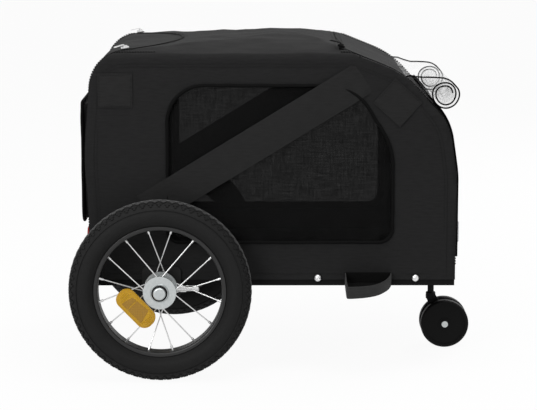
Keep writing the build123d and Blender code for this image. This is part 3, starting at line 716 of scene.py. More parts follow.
# %% [markdown]
# ## Windows
# A window is a net sewn behind an opening whose edge is bound with a cord. The net is a single sheet: its holes are
# in the finish, too many to model. It hangs a little slack, with gathers along the bottom and in the lower front
# corner, where the sewing took up more net than cloth.

# %% Nets


FOLD_OUT, FOLD_IN = 0.0012, 0.007


def gathers(place, low, front, depth):
    """Small folds that rise from the bottom seam and the front corner of a window."""
    near_low = max(0.0, 1 - (place.z - low) / 0.045)
    near_front = max(0.0, 1 - (front - place.x) / 0.035)
    fold = noise.noise(Vector((place.x * 75, place.y * 75, place.z * 18)))
    crease = noise.noise(Vector((place.x * 20, place.y * 20, place.z * 60)) + Vector((5, 1, 2)))
    return depth * (near_low * fold + near_front * crease * 0.8)


def net_panel(node_name, body, low, front, depth, lift=0.001, step=0.006):
    obj = grid_cut(outer_sheet(node_name, node_name + "_sheet"), step)
    held = border(obj)
    normals = [v.normal.copy() for v in obj.data.vertices]
    for vertex, normal in zip(obj.data.vertices, normals):
        edge = min(held.find(vertex.co)[2] / 0.014, 1)
        fold = max(min(gathers(vertex.co, low, front, depth), FOLD_OUT), -FOLD_IN)
        rise = billow(vertex.co, held, lift) + edge * fold
        vertex.co += normal * rise
    obj.data.update()
    spread(obj)
    smooth(obj, 60)
    settle(obj, node_name + "_net", body, net, "mesh", node_name)
    return obj


for side in ("right", "left"):
    net_panel("window_mesh_" + side, "chassis", 0.221, at(382, 0, 0).x, 0.011)
net_panel("rear_door_mesh", "rear_door_leaf", 0.2, 9, 0.002)
net_panel("front_door_mesh", "front_door_leaf", 0.2, 9, 0.002)
print("four nets, sewn in")

# %% [markdown]
# The window's bound edge is a cord with a few millimetres of body, drawn as a tube along the opening. Where the
# sewing pulls it, it wavers by half a millimetre.

# %% Window cords


def cord_along(points, radius, name, closed=True, sides=10):
    """A round cord swept along a line: a bevelled curve made a mesh."""
    data = bpy.data.curves.new(name, "CURVE")
    data.dimensions = "3D"
    data.bevel_depth, data.bevel_resolution = radius, max(1, sides // 4)
    data.use_fill_caps = not closed
    line = data.splines.new("POLY")
    line.points.add(len(points) - 1)
    for spot, p in zip(line.points, points):
        spot.co = (*p, 1)
    line.use_cyclic_u = closed
    obj = bpy.data.objects.new(name, data)
    scene.collection.objects.link(obj)
    alone(obj)
    bpy.ops.object.convert(target="MESH")
    obj = bpy.context.object
    edit(obj)
    bpy.ops.mesh.remove_doubles(threshold=1e-5)
    bpy.ops.mesh.normals_make_consistent(inside=False)
    bpy.ops.object.mode_set(mode="OBJECT")
    return smooth(obj, 60)


def evenly(points, pitch, closed=True):
    """The line's own points replaced by points an even pitch apart."""
    ups = [Vector((0, -1, 0))] * len(points)
    return [f.translation.copy() for f in line_frames(points, ups, pitch, closed)]


cord = evenly(on_side(WINDOW, 1.5), 0.004)
for p in cord:
    p += Vector((noise.noise(p * 60), 0, noise.noise(p * 60 + Vector((9, 9, 9))))) * 0.0006
edge_right = cord_along(cord, 0.0027, "window_cord_right")
edge_left = mirror_of(edge_right)
settle(joined(edge_right, edge_left), "window_cords", "chassis", binding, "piping", "window_piping")

# %% [markdown]
# ## What is sewn over the sides
# The diagonal band stiffens the window and the two patches stiffen the corners that the hoops press on. They are
# flat cloth laid on the panel, with a folded edge and a row of stitches. They take the same lift as the panel
# under them, so that neither cuts through the other.

# %% Bands and patches


BAND_FROM, BAND_TO = at(-25, 0, 274.7), at(358.5, 0, 509.8)
BAND_WAY = (BAND_TO - BAND_FROM).normalized()


def band_drop(place):
    """How far the band sinks at its two ends, where no window lies under it."""
    s = (place - BAND_FROM).dot(BAND_WAY)
    length = (BAND_TO - BAND_FROM).length
    share = min(max((s - 0.040) / 0.025, 0), max((length - 0.050 - s) / 0.030, 0), 1)
    under_seam = min(max((s - length + 0.038) / 0.012, 0), 1)
    return 0.0031 * (1 - share * share * (3 - 2 * share)) + 0.0040 * under_seam


def sewn_over(node_name, mat, slot, name, thick, step=0.01):
    obj = grid_cut(outer_sheet(node_name, name), step)
    edges = border(obj)
    normals = [v.normal.copy() for v in obj.data.vertices]
    for vertex, normal in zip(obj.data.vertices, normals):
        held = held_side["right" if vertex.co.y < 0 else "left"]
        panel_place = Vector((vertex.co.x, -SIDE / 1000 if vertex.co.y < 0 else SIDE / 1000, vertex.co.z))
        plump = 0.0006 * min(edges.find(vertex.co)[2] / 0.006, 1)
        sink = band_drop(vertex.co) if node_name == "brace_bands" else 0
        vertex.co += normal * (max(billow(panel_place, held, 0.0018), -0.0004) + plump - sink)
    obj.data.update()
    change(obj, "SOLIDIFY", thickness=thick, offset=-1, use_rim=True)
    spread(obj)
    smooth(obj, 50)
    settle(obj, name, "chassis", mat, slot, node_name)
    return obj


sewn_over("brace_bands", second, "trim_fabric", "brace_band_cloth", 0.0012)
sewn_over("corner_patches", second, "trim_fabric", "corner_patch_cloth", 0.0012)
print("bands and patches")

# %% [markdown]
# ## Stitches
# One stitch is a short rounded dash of thread. It is modelled once and repeated at a pitch of a few millimetres
# along each seam: round the side panels, above the hem, along both edges of the band and round the patches.

# %% Stitches


def one_stitch(length=0.0026, width=0.0010, height=0.0006):
    return block((length, width, height), (0, 0, 0), 0.0002, 1)


def lifted(flat, out):
    """A line on a side panel that follows the panel's lift."""
    spots = []
    for p in evenly(on_side(flat, 0), 0.004, closed=False):
        up = billow(p, held_side["right"], 0.0018)
        spots.append(Vector((p.x, p.y - up - out / 1000, p.z)))
    return spots


def stitch_rows(rows, pitch=0.0042):
    places = []
    for spots in rows:
        places += line_frames(spots, [Vector((0, -1, 0))] * len(spots), pitch)
    return places


seam_edge = evenly(on_side(seam_line(14.6), 0), 0.004, closed=False)
rows = [[p - Vector((0, 0.0002, 0)) for p in seam_edge]]
rows.append(lifted(seam_line(19.5), 0.1))
rows.append(lifted([(REAR + 20, HEM + 10), (FRONT - 18, HEM + 10)], 0.1))
band_from, band_to = Vector((-25, 274.7)), Vector((358.5, 509.8))
along = (band_to - band_from).normalized()
across = Vector((-along.y, along.x))
for offset in (24.5, -24.5):
    ends = [tuple(band_from + along * s + across * offset) for s in (14, (band_to - band_from).length - 14)]
    rows.append([p + Vector((0, band_drop(p), 0)) for p in evenly(on_side(ends, 4.75), 0.004, closed=False)])
for middle_x, middle_z, turn, wide, high in ((-73.5, 473, 0, 57, 56), (389, 453, -42, 60, 54)):
    c, s = math.cos(math.radians(turn)), math.sin(math.radians(turn))
    ring_of = [(-0.5, -0.5), (0.5, -0.5), (0.5, 0.5), (-0.5, 0.5), (-0.5, -0.5)]
    flat = [(middle_x + c * u * (wide - 5) - s * v * (high - 5), middle_z + s * u * (wide - 5) + c * v * (high - 5))
            for u, v in ring_of]
    rows.append(lifted(flat, 2.1))
side_stitches = repeat(one_stitch(), stitch_rows(rows), "side_stitches")
twin = mirror_of(side_stitches)
settle(joined(side_stitches, twin), "side_stitching", "chassis", thread, "trim_fabric")

# %% [markdown]
# ## Tyre
# The tyre is a round section spun about the axle. The section starts as a circle, loses the arc that faces the rim,
# is drawn in beside the rim so that the rim's lip shows, and is spun in edit mode. It is closed where the two ends of
# the spin meet, its faces are turned outwards, and only then does it get its wall. Three thin rings on each sidewall
# mark the bead, the rim line and the shoulder. The tread is one knob in the shape of a T, copied round the wheel in
# five staggered rows, and its highest parts are worn pale.

# %% Tyre
WHEEL_R = (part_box("tyre_right")[1].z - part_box("tyre_right")[0].z) / 2
RIM_R = (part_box("rim_right")[1].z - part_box("rim_right")[0].z) / 2
SECTION_R = 0.0233
CORE_R = WHEEL_R - 0.0016 - SECTION_R
RIM_HALF = (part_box("rim_right")[1].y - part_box("rim_right")[0].y) / 2
RIM_PULL = max(0, 1 - (RIM_HALF - 0.0006) / 0.0182)
print("rim half width", round(RIM_HALF, 4), "pull", round(RIM_PULL, 3))


def spun(obj, steps=128):
    """Spins what is in the mesh once round the right wheel's axle."""
    edit(obj)
    bpy.ops.mesh.spin(steps=steps, angle=2 * math.pi, center=AXLE, axis=(0, 1, 0))
    bpy.ops.mesh.select_all(action="SELECT")
    bpy.ops.mesh.remove_doubles(threshold=1e-5)
    bpy.ops.mesh.normals_make_consistent(inside=False)
    bpy.ops.object.mode_set(mode="OBJECT")
    return obj


bpy.ops.mesh.primitive_circle_add(vertices=44, radius=SECTION_R, location=AXLE + Vector((0, 0, CORE_R)),
                                  rotation=(0, math.pi / 2, 0))
carcass = set_down(bpy.context.object)
edit(carcass, lambda v: v.co.z - AXLE.z < RIM_R - 0.003, "VERT")
bpy.ops.mesh.delete(type="VERT")
bpy.ops.object.mode_set(mode="OBJECT")
for vertex in carcass.data.vertices:
    near_rim = min(max((0.119 - (vertex.co.z - AXLE.z)) / 0.010, 0), 1)
    vertex.co.y = AXLE.y + (vertex.co.y - AXLE.y) * (1 - RIM_PULL * near_rim)
spun(carcass)
change(carcass, "SOLIDIFY", thickness=0.0035, offset=-1, use_rim=True)

ridges = []
RIDGES = ((RIM_R + 0.0045, 0.0164, 0.0009), (RIM_R + 0.008, 0.0194, 0.0007), (0.1365, 0.0213, 0.0007))
for radius, out, thick in RIDGES:
    for side in (-1, 1):
        bpy.ops.mesh.primitive_circle_add(vertices=8, radius=thick, rotation=(0, math.pi / 2, 0),
                                          location=AXLE + Vector((0, side * out, radius)))
        ridges.append(spun(set_down(bpy.context.object)))
print("tyre carcass", len(carcass.data.polygons), "faces, rim radius", round(RIM_R, 4))


# %% Tread
bar = block((0.0088, 0.0034, 0.0030), (0, 0.0022, -0.0002), 0.0007, 1)
stem = block((0.0042, 0.0044, 0.0030), (0, -0.0012, -0.0002), 0.0007, 1)
knob = joined(bar, stem)
KNOBS = 67
places = []
for row, lean in enumerate((-39, -20, 0, 20, 39)):
    for k in range(KNOBS):
        turn = 2 * math.pi * (k + 0.5 * (row % 2)) / KNOBS
        spoke = Matrix.Rotation(turn, 4, "Y")
        tip = Matrix.Translation((0, 0, CORE_R)) @ Matrix.Rotation(math.radians(-lean), 4, "X")
        face = Matrix.Translation((0, 0, SECTION_R + 0.0004)) @ Matrix.Rotation(math.pi if lean > 0 else 0, 4, "Z")
        places.append(Matrix.Translation(AXLE) @ spoke @ tip @ face)
tread = repeat(knob, places, "tread")

worn = rubber.copy()
worn.name = "tread_rubber"
ramp = [n for n in worn.node_tree.nodes if n.type == "MIX"][0]
spot = node(worn, "ShaderNodeTexCoord")
centred = node(worn, "ShaderNodeMapping", Location=(-AXLE.x, 0, -AXLE.z), Scale=(1, 0, 1))
join(worn, spot.outputs["Object"], centred.inputs["Vector"])
reach = node(worn, "ShaderNodeVectorMath")
reach.operation = "LENGTH"
join(worn, centred.outputs[0], reach.inputs[0])
wear = node(worn, "ShaderNodeMapRange")
wear.inputs["From Min"].default_value, wear.inputs["From Max"].default_value = 0.1475, 0.1502
wear.inputs["To Max"].default_value = 1.0
join(worn, reach.outputs["Value"], wear.inputs["Value"])
top = node(worn, "ShaderNodeMix")
top.data_type = "RGBA"
fresh, rubbed = colour_sockets(top.inputs)
rubbed.default_value = (0.095, 0.095, 0.095, 1)
join(worn, wear.outputs[0], top.inputs["Factor"])
join(worn, colour_sockets(ramp.outputs)[0], fresh)
join(worn, colour_sockets(top.outputs)[0], worn.node_tree.nodes["Principled BSDF"].inputs["Base Color"])

tyre = smooth(joined(*ridges, carcass), 40)
for side, body_part, knobs in (("right", tyre, tread), ("left", mirror_of(tyre), mirror_of(tread))):
    settle(body_part, "tyre_body_" + side, side + "_wheel", rubber, "tyre_rubber", "tyre_" + side)
    settle(knobs, "tyre_tread_" + side, side + "_wheel", worn, "tyre_rubber", "tyre_" + side)
print("tread of", 5 * KNOBS, "knobs on each tyre")

# %% [markdown]
# ## Wheel reflectors
# An amber lens is clipped to two spokes. The clips are kept from the CAD node and the lens is modelled again,
# because its face is stepped: a rounded slab, an inset crown, a darker middle panel of cube corners with a split
# line, and ribs at both ends. The slab is a plane whose corners are bevelled, then extruded and inset.

# %% Amber lenses
LENS_MIDDLE = Vector((-38.6, -24.6))


def rounded_plate(length, width, corner, heights):
    """A plate with round corners: each (inset, rise) adds a step."""
    bpy.ops.mesh.primitive_plane_add(size=1)
    plate = bpy.context.object
    plate.scale = (length, width, 1)
    set_down(plate)
    edit(plate, None, "VERT")
    bpy.ops.mesh.bevel(offset=corner, segments=10, affect="VERTICES")
    bpy.ops.mesh.select_all(action="SELECT")
    bpy.ops.mesh.select_mode(type="FACE")
    bpy.ops.mesh.select_all(action="SELECT")
    for depth, rise in heights:
        if depth:
            bpy.ops.mesh.inset(thickness=depth)
        if rise:
            bpy.ops.mesh.extrude_region_move(TRANSFORM_OT_translate={"value": (0, 0, rise)})
    bpy.ops.object.mode_set(mode="OBJECT")
    edit(plate, lambda e: e.is_boundary, "EDGE")
    bpy.ops.mesh.edge_face_add()
    bpy.ops.mesh.select_all(action="SELECT")
    bpy.ops.mesh.normals_make_consistent(inside=False)
    bpy.ops.object.mode_set(mode="OBJECT")
    return smooth(plate, 30)


def flat_panel(outline, low, high, bevel=0.0004):
    """A low panel with that outline in its own plane."""
    data = bpy.data.meshes.new("panel")
    data.from_pydata([(*p, low) for p in outline], [], [list(range(len(outline)))])
    obj = bpy.data.objects.new("panel", data)
    scene.collection.objects.link(obj)
    edit(obj)
    bpy.ops.mesh.normals_make_consistent(inside=False)
    bpy.ops.mesh.extrude_region_move(TRANSFORM_OT_translate={"value": (0, 0, high - low)})
    bpy.ops.mesh.select_all(action="SELECT")
    bpy.ops.mesh.normals_make_consistent(inside=False)
    bpy.ops.object.mode_set(mode="OBJECT")
    if bevel:
        edit(obj, None, "EDGE")
        bpy.ops.mesh.bevel(offset=bevel, segments=1, affect="EDGES")
        bpy.ops.object.mode_set(mode="OBJECT")
    return obj


def amber_lens():
    slab = rounded_plate(0.0745, 0.034, 0.0150, ((0, 0.0056), (0.0012, 0.0012), (0.0022, 0.0008)))
    panels = []
    for outline in ([(-0.0215, -0.0109), (-0.0086, -0.0109), (-0.0092, 0.0110), (-0.0172, 0.0094)],
                    [(-0.0072, -0.0109), (0.0232, -0.0105), (0.0165, 0.0132), (-0.0078, 0.0112)]):
        panels.append(flat_panel(outline, 0.0070, 0.0082))
    ribs = []
    for end in (-1, 1):
        for i in range(4):
            u = end * (0.0235 + 0.0028 * i) + 0.001
            long = 0.022 - 0.0040 * i
            ribs.append(block((0.0011, long, 0.0012), (u, 0.0005, 0.0080), 0.0004, 1))
    return joined(*ribs, slab), joined(*panels)


def stand_lens(obj, back_y, turn):
    """From its own plane to the wheel: its length runs down and forwards, its face outwards."""
    u = Vector((math.cos(math.radians(turn)), 0, -math.sin(math.radians(turn))))
    v = Vector((math.sin(math.radians(turn)), 0, math.cos(math.radians(turn))))
    frame3 = Matrix((u, v, Vector((0, -1, 0)))).transposed().to_4x4()
    obj.matrix_world = Matrix.Translation(at(LENS_MIDDLE.x, 0, 150 + LENS_MIDDLE.y) + Vector((0, back_y, 0))) @ frame3
    return set_down(obj)


cad_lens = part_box("wheel_reflector_right")
back_y = cad_lens[0].y + 0.008
clips = bpy.data.objects.new("clips", nodes["wheel_reflector_right"].data.copy())
scene.collection.objects.link(clips)
clips.data.materials.clear()
edit(clips)
bpy.ops.mesh.remove_doubles(threshold=1e-5)
bpy.ops.mesh.select_all(action="SELECT")
bpy.ops.mesh.bisect(plane_co=(0, back_y + 0.0003, 0), plane_no=(0, 1, 0), clear_inner=True, use_fill=True)
bpy.ops.object.mode_set(mode="OBJECT")
lens, core = amber_lens()
stand_lens(lens, back_y, 46)
stand_lens(core, back_y, 46)
lens = joined(clips, lens)
lens_twin, core_twin = mirror_of(lens), mirror_of(core)
for side, body_lens, panels in (("right", lens, core), ("left", lens_twin, core_twin)):
    settle(body_lens, "wheel_lens_" + side, side + "_wheel", amber, "amber", "wheel_reflector_" + side)
    settle(panels, "wheel_lens_core_" + side, side + "_wheel", amber_core, "amber")
print("amber lenses")

# %% [markdown]
# ## Door reflectors
# White ones in front and red ones behind, each a lens in a shallow black frame. The pair is one CAD node, so one
# frame and one lens are modelled in the plane, stood at their place and mirrored.

# %% Door lenses


def door_reflector(node_name, body, lens_mat, slot, facing):
    """A pair of framed lenses; facing is 1 in front and -1 behind."""
    low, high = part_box(node_name)
    mesh = nodes[node_name].data
    near = [v.co for v in mesh.vertices if v.co.y < 0]
    spot = sum(near, Vector()) / len(near)
    tall = [v for v in near if abs(v.y - min(p.y for p in near)) < 0.002]
    top, foot = max(tall, key=lambda p: p.z), min(tall, key=lambda p: p.z)
    tilt = math.atan2(top.x - foot.x, top.z - foot.z)
    outward = Vector((facing * math.cos(tilt), 0, -facing * math.sin(tilt)))
    up = Vector((math.sin(tilt), 0, math.cos(tilt)))
    stand = Matrix((up.cross(outward), up, outward)).transposed().to_4x4()
    seat = Matrix.Translation(spot - outward * 0.003) @ stand
    frame_piece = rounded_plate(0.050, 0.040, 0.004, ((0, 0.0038), (0.0022, 0), (0, -0.0012)))
    lens_piece = rounded_plate(0.0450, 0.0350, 0.003, ((0, 0.0028), (0.0012, 0.0008)))
    lens_piece.location.z = 0.0029
    set_down(lens_piece)
    out = []
    for piece in (frame_piece, lens_piece):
        piece.matrix_world = seat
        set_down(piece)
        out.append(joined(piece, mirror_of(piece)))
    settle(out[0], node_name + "_frames", body, plastic, "caster_plastic")
    settle(out[1], node_name + "_lenses", body, lens_mat, slot, node_name)


door_reflector("front_reflectors", "front_door_leaf", white, "white_lens", 1)
door_reflector("rear_reflectors", "rear_door_leaf", red, "red_lens", -1)
print("door reflectors")

# %% [markdown]
# ## Bolts and the skirt
# Two bolts on each side hold the cover to the rails, each with a washer. A strip of coated cloth closes the
# cover under the hem, in front of the rail. It is split where the axle's bush comes through.

# %% Bolts


def bolt(x, z):
    bpy.ops.mesh.primitive_cylinder_add(vertices=32, radius=0.0069, depth=0.0011)
    washer = bpy.context.object
    edit(washer, lambda e: abs((e.verts[0].co - e.verts[1].co).z) < 1e-6 and middle(e).z > 0, "EDGE")
    bpy.ops.mesh.bevel(offset=0.0003, segments=2, affect="EDGES")
    bpy.ops.object.mode_set(mode="OBJECT")
    bpy.ops.mesh.primitive_uv_sphere_add(segments=32, ring_count=16, radius=0.0062)
    head = bpy.context.object
    edit(head, None)
    bpy.ops.mesh.bisect(plane_co=(0, 0, 0.0022), plane_no=(0, 0, 1), clear_inner=True, use_fill=True)
    bpy.ops.object.mode_set(mode="OBJECT")
    head.scale.z = 0.8
    head.location.z = -0.0012
    set_down(head)
    edit(head, lambda v: v.co.z > 0.0029 and math.hypot(v.co.x, v.co.y) < 0.0022, "VERT")
    bpy.ops.transform.translate(value=(0, 0, -0.0007))
    bpy.ops.object.mode_set(mode="OBJECT")
    pieces = []
    for piece in (washer, head):
        piece.matrix_world = Matrix.Translation(at(x, -SIDE - 1.1, z)) @ Matrix.Rotation(math.pi / 2, 4, "X")
        set_down(piece)
        smooth(piece, 30)
        pieces.append(piece)
    return pieces


washers, heads = [], []
for x in (259, 421):
    washer, head = bolt(x, 160.5)
    washers += [washer, mirror_of(washer)]
    heads += [head, mirror_of(head)]
settle(joined(*washers), "bolt_washers", "chassis", plastic, "frame_paint")
settle(joined(*heads), "bolt_heads", "chassis", bright, "zinc")
print(len(heads), "bolts")

# %% Skirt
strips = []
for x0, x1 in ((REAR + 1, -12.5), (12.5, FRONT - 1)):
    middle_x, long = (x0 + x1) / 2, (x1 - x0) / 1000
    strip = block((long, 0.0012, 0.0096), at(middle_x, -SIDE + 2.0, 152.3), 0.0003, 1)
    strips += [strip, mirror_of(strip)]
skirt = joined(*strips)
spread(skirt)
settle(skirt, "base_skirt", "chassis", base_cloth, "floor_fabric")
print("skirt of", len(strips), "strips")

# %% [markdown]
# ## Webbing loops
# A flat strap is sewn under each side, and stands out in a smooth bow. The strap is drawn as a flat curve in its own
# plane, given its width as the curve's extrusion, made a mesh, thickened and leant over.

# %% Loops


def bow_strap(name):
    data = bpy.data.curves.new(name, "CURVE")
    data.dimensions = "2D"
    data.extrude = 0.010
    line = data.splines.new("BEZIER")
    spots = [((0, 0), (0, 0.02), (0, -0.02)), ((0.0008, -0.0575), (0.0002, -0.046), (0.0012, -0.0610)),
             ((0.0050, -0.0618), (0.0022, -0.0620), (0.020, -0.0612)),
             ((0.048, -0.0505), (0.035, -0.0590), (0.062, -0.0410)), ((0.0755, 0), (0.0745, -0.020), (0.076, 0.01))]
    line.bezier_points.add(len(spots) - 1)
    for knot, (co, left, right) in zip(line.bezier_points, spots):
        knot.handle_left_type = knot.handle_right_type = "FREE"
        knot.co, knot.handle_left, knot.handle_right = (*co, 0), (*left, 0), (*right, 0)
    line.resolution_u = 16
    obj = bpy.data.objects.new(name, data)
    scene.collection.objects.link(obj)
    alone(obj)
    bpy.ops.object.convert(target="MESH")
    obj = bpy.context.object
    edit(obj)
    bpy.ops.mesh.remove_doubles(threshold=1e-5)
    bpy.ops.mesh.subdivide(number_cuts=1)
    bpy.ops.mesh.normals_make_consistent(inside=False)
    bpy.ops.object.mode_set(mode="OBJECT")
    change(obj, "SOLIDIFY", thickness=0.0018, offset=0, use_rim=True)
    for vertex in obj.data.vertices:
        edge = abs(abs(vertex.co.z) - 0.010) < 0.0004
        vertex.co.z += 0.0006 * noise.noise(vertex.co * 45) - (0.0004 if edge else 0)
    obj.rotation_euler = (math.radians(11), 0, 0)
    return obj


loop_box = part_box("strap_loop_right")
loop = bow_strap("loop")
set_down(loop)
low = [min(v.co[i] for v in loop.data.vertices) for i in range(3)]
high = [max(v.co[i] for v in loop.data.vertices) for i in range(3)]
loop.location = Vector((loop_box[0].x - low[0], loop_box[1].y - high[1], loop_box[1].z - high[2]))
set_down(loop)
spread(loop)
smooth(loop, 40)
loop_twin = mirror_of(loop)
settle(loop, "webbing_loop_right", "chassis", webbing, "webbing", "strap_loop_right")
settle(loop_twin, "webbing_loop_left", "chassis", webbing, "webbing", "strap_loop_left")
print("webbing loops")

# %% [markdown]
# Between the ends of each loop the side is faced with black cloth, and the same cloth closes the bow from panel to
# strap, like the bottom of a shallow pocket. This black cloth is painted shade: it stands for the shadow inside the
# loop.

# %% Loop facings, painted shade inside the loops
left_x, right_x = loop_box[0].x, loop_box[1].x
# The black facing and lining are painted shade: dark sheets put where the inside of each loop is in shadow.
shade_facing_place = ((left_x + right_x) / 2, -SIDE / 1000 - 0.0007, 0.1598)
facing = block((right_x - left_x + 0.001, 0.0010, 0.0205), shade_facing_place, 0.0003, 1)
SHADE_LINING_REACH = 0.053
bow = []
for i in range(24):
    t = i / 24
    x = left_x + 0.003 + (right_x - left_x - 0.006) * t
    bow.append((x, -SHADE_LINING_REACH * (1 - max(0, (t - 0.30) / 0.70) ** 2.0) ** 0.5))
shade_lining = flat_panel([(right_x - 0.003, 0.0), (left_x + 0.003, 0.0)] + bow, 0, 0.0008, 0)
edit(shade_lining)
bpy.ops.mesh.quads_convert_to_tris()
bpy.ops.object.mode_set(mode="OBJECT")
for vertex in shade_lining.data.vertices:
    vertex.co.z += vertex.co.y * math.tan(math.radians(11))
shade_lining.location = (0, -SIDE / 1000 - 0.0013, 0.1515)
set_down(shade_lining)
facing = joined(facing, shade_lining)
spread(facing)
settle(joined(facing, mirror_of(facing)), "loop_shade_facings", "chassis", binding, "webbing")
print("loop facings")

# %% [markdown]
# ## Zips
# Both doors close with a zip that runs up one side, over the roof and down the other side. Half of its tape and
# half of its teeth belong to the door and half to the cover, so that the door can open. The line is read off the
# skin on both sides of the gap: its middle carries the teeth, and its across direction says which half is whose.

# %% Zip lines


def zip_line(angles, plan):
    """Points of the zip's middle, the way out of the cloth, and the way from door to cover."""
    inner, outer, ups = [], [], []

    def add(a, b, up):
        inner.append(a)
        outer.append(b)
        ups.append(up)

    first, last = angles
    steps = 90
    for side in (-1, 1):
        walk = []
        for i in range(steps + 1):
            angle = first + (last - first) * i / steps
            a, up = ring(angle, side * 167.5)
            b, _ = ring(angle, side * 176.5)
            walk.append((a, b, up))
        if side < 0:
            for item in walk:
                add(*item)
            for a, b in plan:
                p, up = above(*a)
                q, _ = above(*b)
                add(p, q, up)
        else:
            for item in reversed(walk):
                add(*item)
    middles = [(a + b) / 2 for a, b in zip(inner, outer)]
    across = [(b - a).normalized() for a, b in zip(inner, outer)]
    return middles, ups, across


arc = [math.radians(-54.5 + 109 * i / 60) for i in range(61)]
rear_plan = [tuple((-179.4 + r * math.cos(a), r * math.sin(a)) for r in (205, 214)) for a in arc]
front_plan = [((300.5, -168 + 336 * i / 50), (291.5, -168 + 336 * i / 50)) for i in range(51)]
rear_zip = zip_line((207.8, 142.2), rear_plan)
front_zip = zip_line((-28.6, 61.6), front_plan)
print("zip points", len(rear_zip[0]), len(front_zip[0]))


# %% Tapes, teeth and their stitches


def ribbon(points, ups, across, low, high, depth, thick, name):
    """A strip from low to high across the line, that deep under the skin."""
    data = bpy.data.meshes.new(name)
    verts, faces = [], []
    for p, up, way in zip(points, ups, across):
        for offset in (low, high):
            verts.append(p + way * offset + up * depth)
    for i in range(len(points) - 1):
        faces.append((2 * i, 2 * i + 1, 2 * i + 3, 2 * i + 2))
    data.from_pydata(verts, [], faces)
    obj = bpy.data.objects.new(name, data)
    scene.collection.objects.link(obj)
    change(obj, "SOLIDIFY", thickness=thick, offset=0, use_rim=True)
    edit(obj)
    bpy.ops.mesh.normals_make_consistent(inside=False)
    bpy.ops.object.mode_set(mode="OBJECT")
    return obj


def along_zip(line, offset, rise, pitch, start=0.0):
    points, ups, across = line
    moved = [p + way * offset + up * rise for p, up, way in zip(points, ups, across)]
    return line_frames(moved, ups, pitch, start=start)


PITCH = 0.0036
for name, line, body in (("rear", rear_zip, "rear_door_leaf"), ("front", front_zip, "front_door_leaf")):
    for half, rider, sign in (("door", body, -1), ("cover", "chassis", 1)):
        tape = ribbon(*line, sign * 0.0003, sign * 0.0024, -0.0012, 0.0006, "tape")
        spread(tape)
        settle(tape, name + "_zip_tape_" + half, rider, binding, "piping")
        tooth = block((0.0014, 0.0024, 0.0021), (0, 0, 0))
        start = 0.002 if sign < 0 else 0.002 + PITCH / 2
        teeth = repeat(tooth, along_zip(line, sign * 0.0009, 0.0002, PITCH, start), "teeth")
        settle(teeth, name + "_zip_teeth_" + half, rider, plastic, "caster_plastic")
        rows = along_zip(line, sign * 0.0085, 0.0001, 0.0042)
        sewn = repeat(one_stitch(), rows, "sewn")
        settle(sewn, name + "_zip_stitching_" + half, rider, thread, "trim_fabric")
print("zips")

# %% [markdown]
# A slider rides on each zip near its upper corners: bright metal at the back, black at the front. Its body is a
# waisted block with a bridge on top, and a pull with a hole hangs from the bridge.

# %% Sliders


def slider():
    """The body with its bridge, and the pull that hangs from it."""
    body = block((0.0125, 0.0088, 0.0042), (0, 0, 0.0024), 0.0012, 2)
    edit(body, lambda v: v.co.x < -0.003, "VERT")
    bpy.ops.transform.resize(value=(1, 0.72, 1))
    bpy.ops.object.mode_set(mode="OBJECT")
    bridge = block((0.0080, 0.0022, 0.0022), (0, 0, 0.0052), 0.0008, 2)
    pull = rounded_plate(0.0210, 0.0062, 0.0026, ((0, 0.0011), (0.0006, 0.0003)))
    edit(pull, lambda f: f.normal.z > 0.9 and f.calc_area() > 2e-5, "FACE")
    bpy.ops.mesh.inset(thickness=0.0012)
    bpy.ops.mesh.extrude_region_move(TRANSFORM_OT_translate={"value": (0, 0, -0.0007)})
    bpy.ops.object.mode_set(mode="OBJECT")
    pull.location = (0.0115, 0, 0.0058)
    pull.rotation_euler = (0, math.radians(6), math.radians(8))
    return smooth(joined(bridge, set_down(pull), body), 30)


def put_slider(line, i, body, mat, slot, name, turned):
    """A slider on the zip's i-th point, turned about the way out of the cloth."""
    points, ups, _ = line
    along = (points[i + 1] - points[i]).normalized()
    up = (ups[i] - along * ups[i].dot(along)).normalized()
    frame3 = Matrix((along, up.cross(along), up)).transposed().to_4x4()
    piece = slider()
    piece.matrix_world = Matrix.Translation(points[i] + up * 0.0012) @ frame3 @ Matrix.Rotation(turned, 4, "Z")
    set_down(piece)
    settle(piece, name, body, mat, slot)


put_slider(rear_zip, 91, "chassis", bright, "zinc", "rear_slider_right", math.pi)
put_slider(rear_zip, 150, "chassis", bright, "zinc", "rear_slider_left", 0.0)
put_slider(front_zip, 92, "chassis", plastic, "caster_plastic", "front_slider_right", math.pi / 2)
print("three sliders")

# %% [markdown]
# Outside the zips the end panels are whipped to the sides. The whipping is a row of short bars across the seam.

# %% Whipping
bars = []
for side in (-1, 1):
    for first, last in ((208, 135), (-28, 62)):
        walk = [ring(first + (last - first) * i / 90, side * 186) for i in range(91)]
        bars += line_frames([p for p, n in walk], [n for p, n in walk], 0.0044)
whip = repeat(block((0.0026, 0.0040, 0.0026), (0, 0, 0.0008), 0.0005, 1), bars, "whip")
settle(whip, "seam_whipping", "chassis", thread, "piping")
print("whipping of", len(bars), "bars")

# %% [markdown]
# ## Bound edge of the front net
# The front door's net panel has a thick black binding round it, that stands a few millimetres proud of the nose.

# %% Front binding
FIN = 0.0052
frame_points = []
for side in (-1, 1):
    walk = [ring(-26.6 + 52 * i / 60, side * 166.6) for i in range(61)]
    if side > 0:
        walk.reverse()
    frame_points += walk
top_line = evenly([p + n * FIN for p, n in frame_points], 0.004)
front_cord = cord_along(top_line, 0.0014, "front_net_binding")
fins = []
for part in (frame_points[:61], frame_points[61:]):
    spots, outs = [p for p, n in part], [n for p, n in part]
    fins.append(ribbon(spots, outs, outs, -0.0004, FIN, 0, 0.0018, "fin"))
front_cord = joined(*fins, front_cord)
settle(front_cord, "front_net_binding", "front_door_leaf", binding, "piping")
print("front binding", len(front_cord.data.polygons), "faces")

# %% [markdown]
# ## Rain cover
# A clear sheet is bound in black along both ends and rolled up on the nose. It is one strip: from the brow it runs
# forwards, bends down over the roll and winds in, each turn some five millimetres inside the last. The strip is a
# grid bent along that line, with small crumples, and the black binding is a cord along each of its edges.

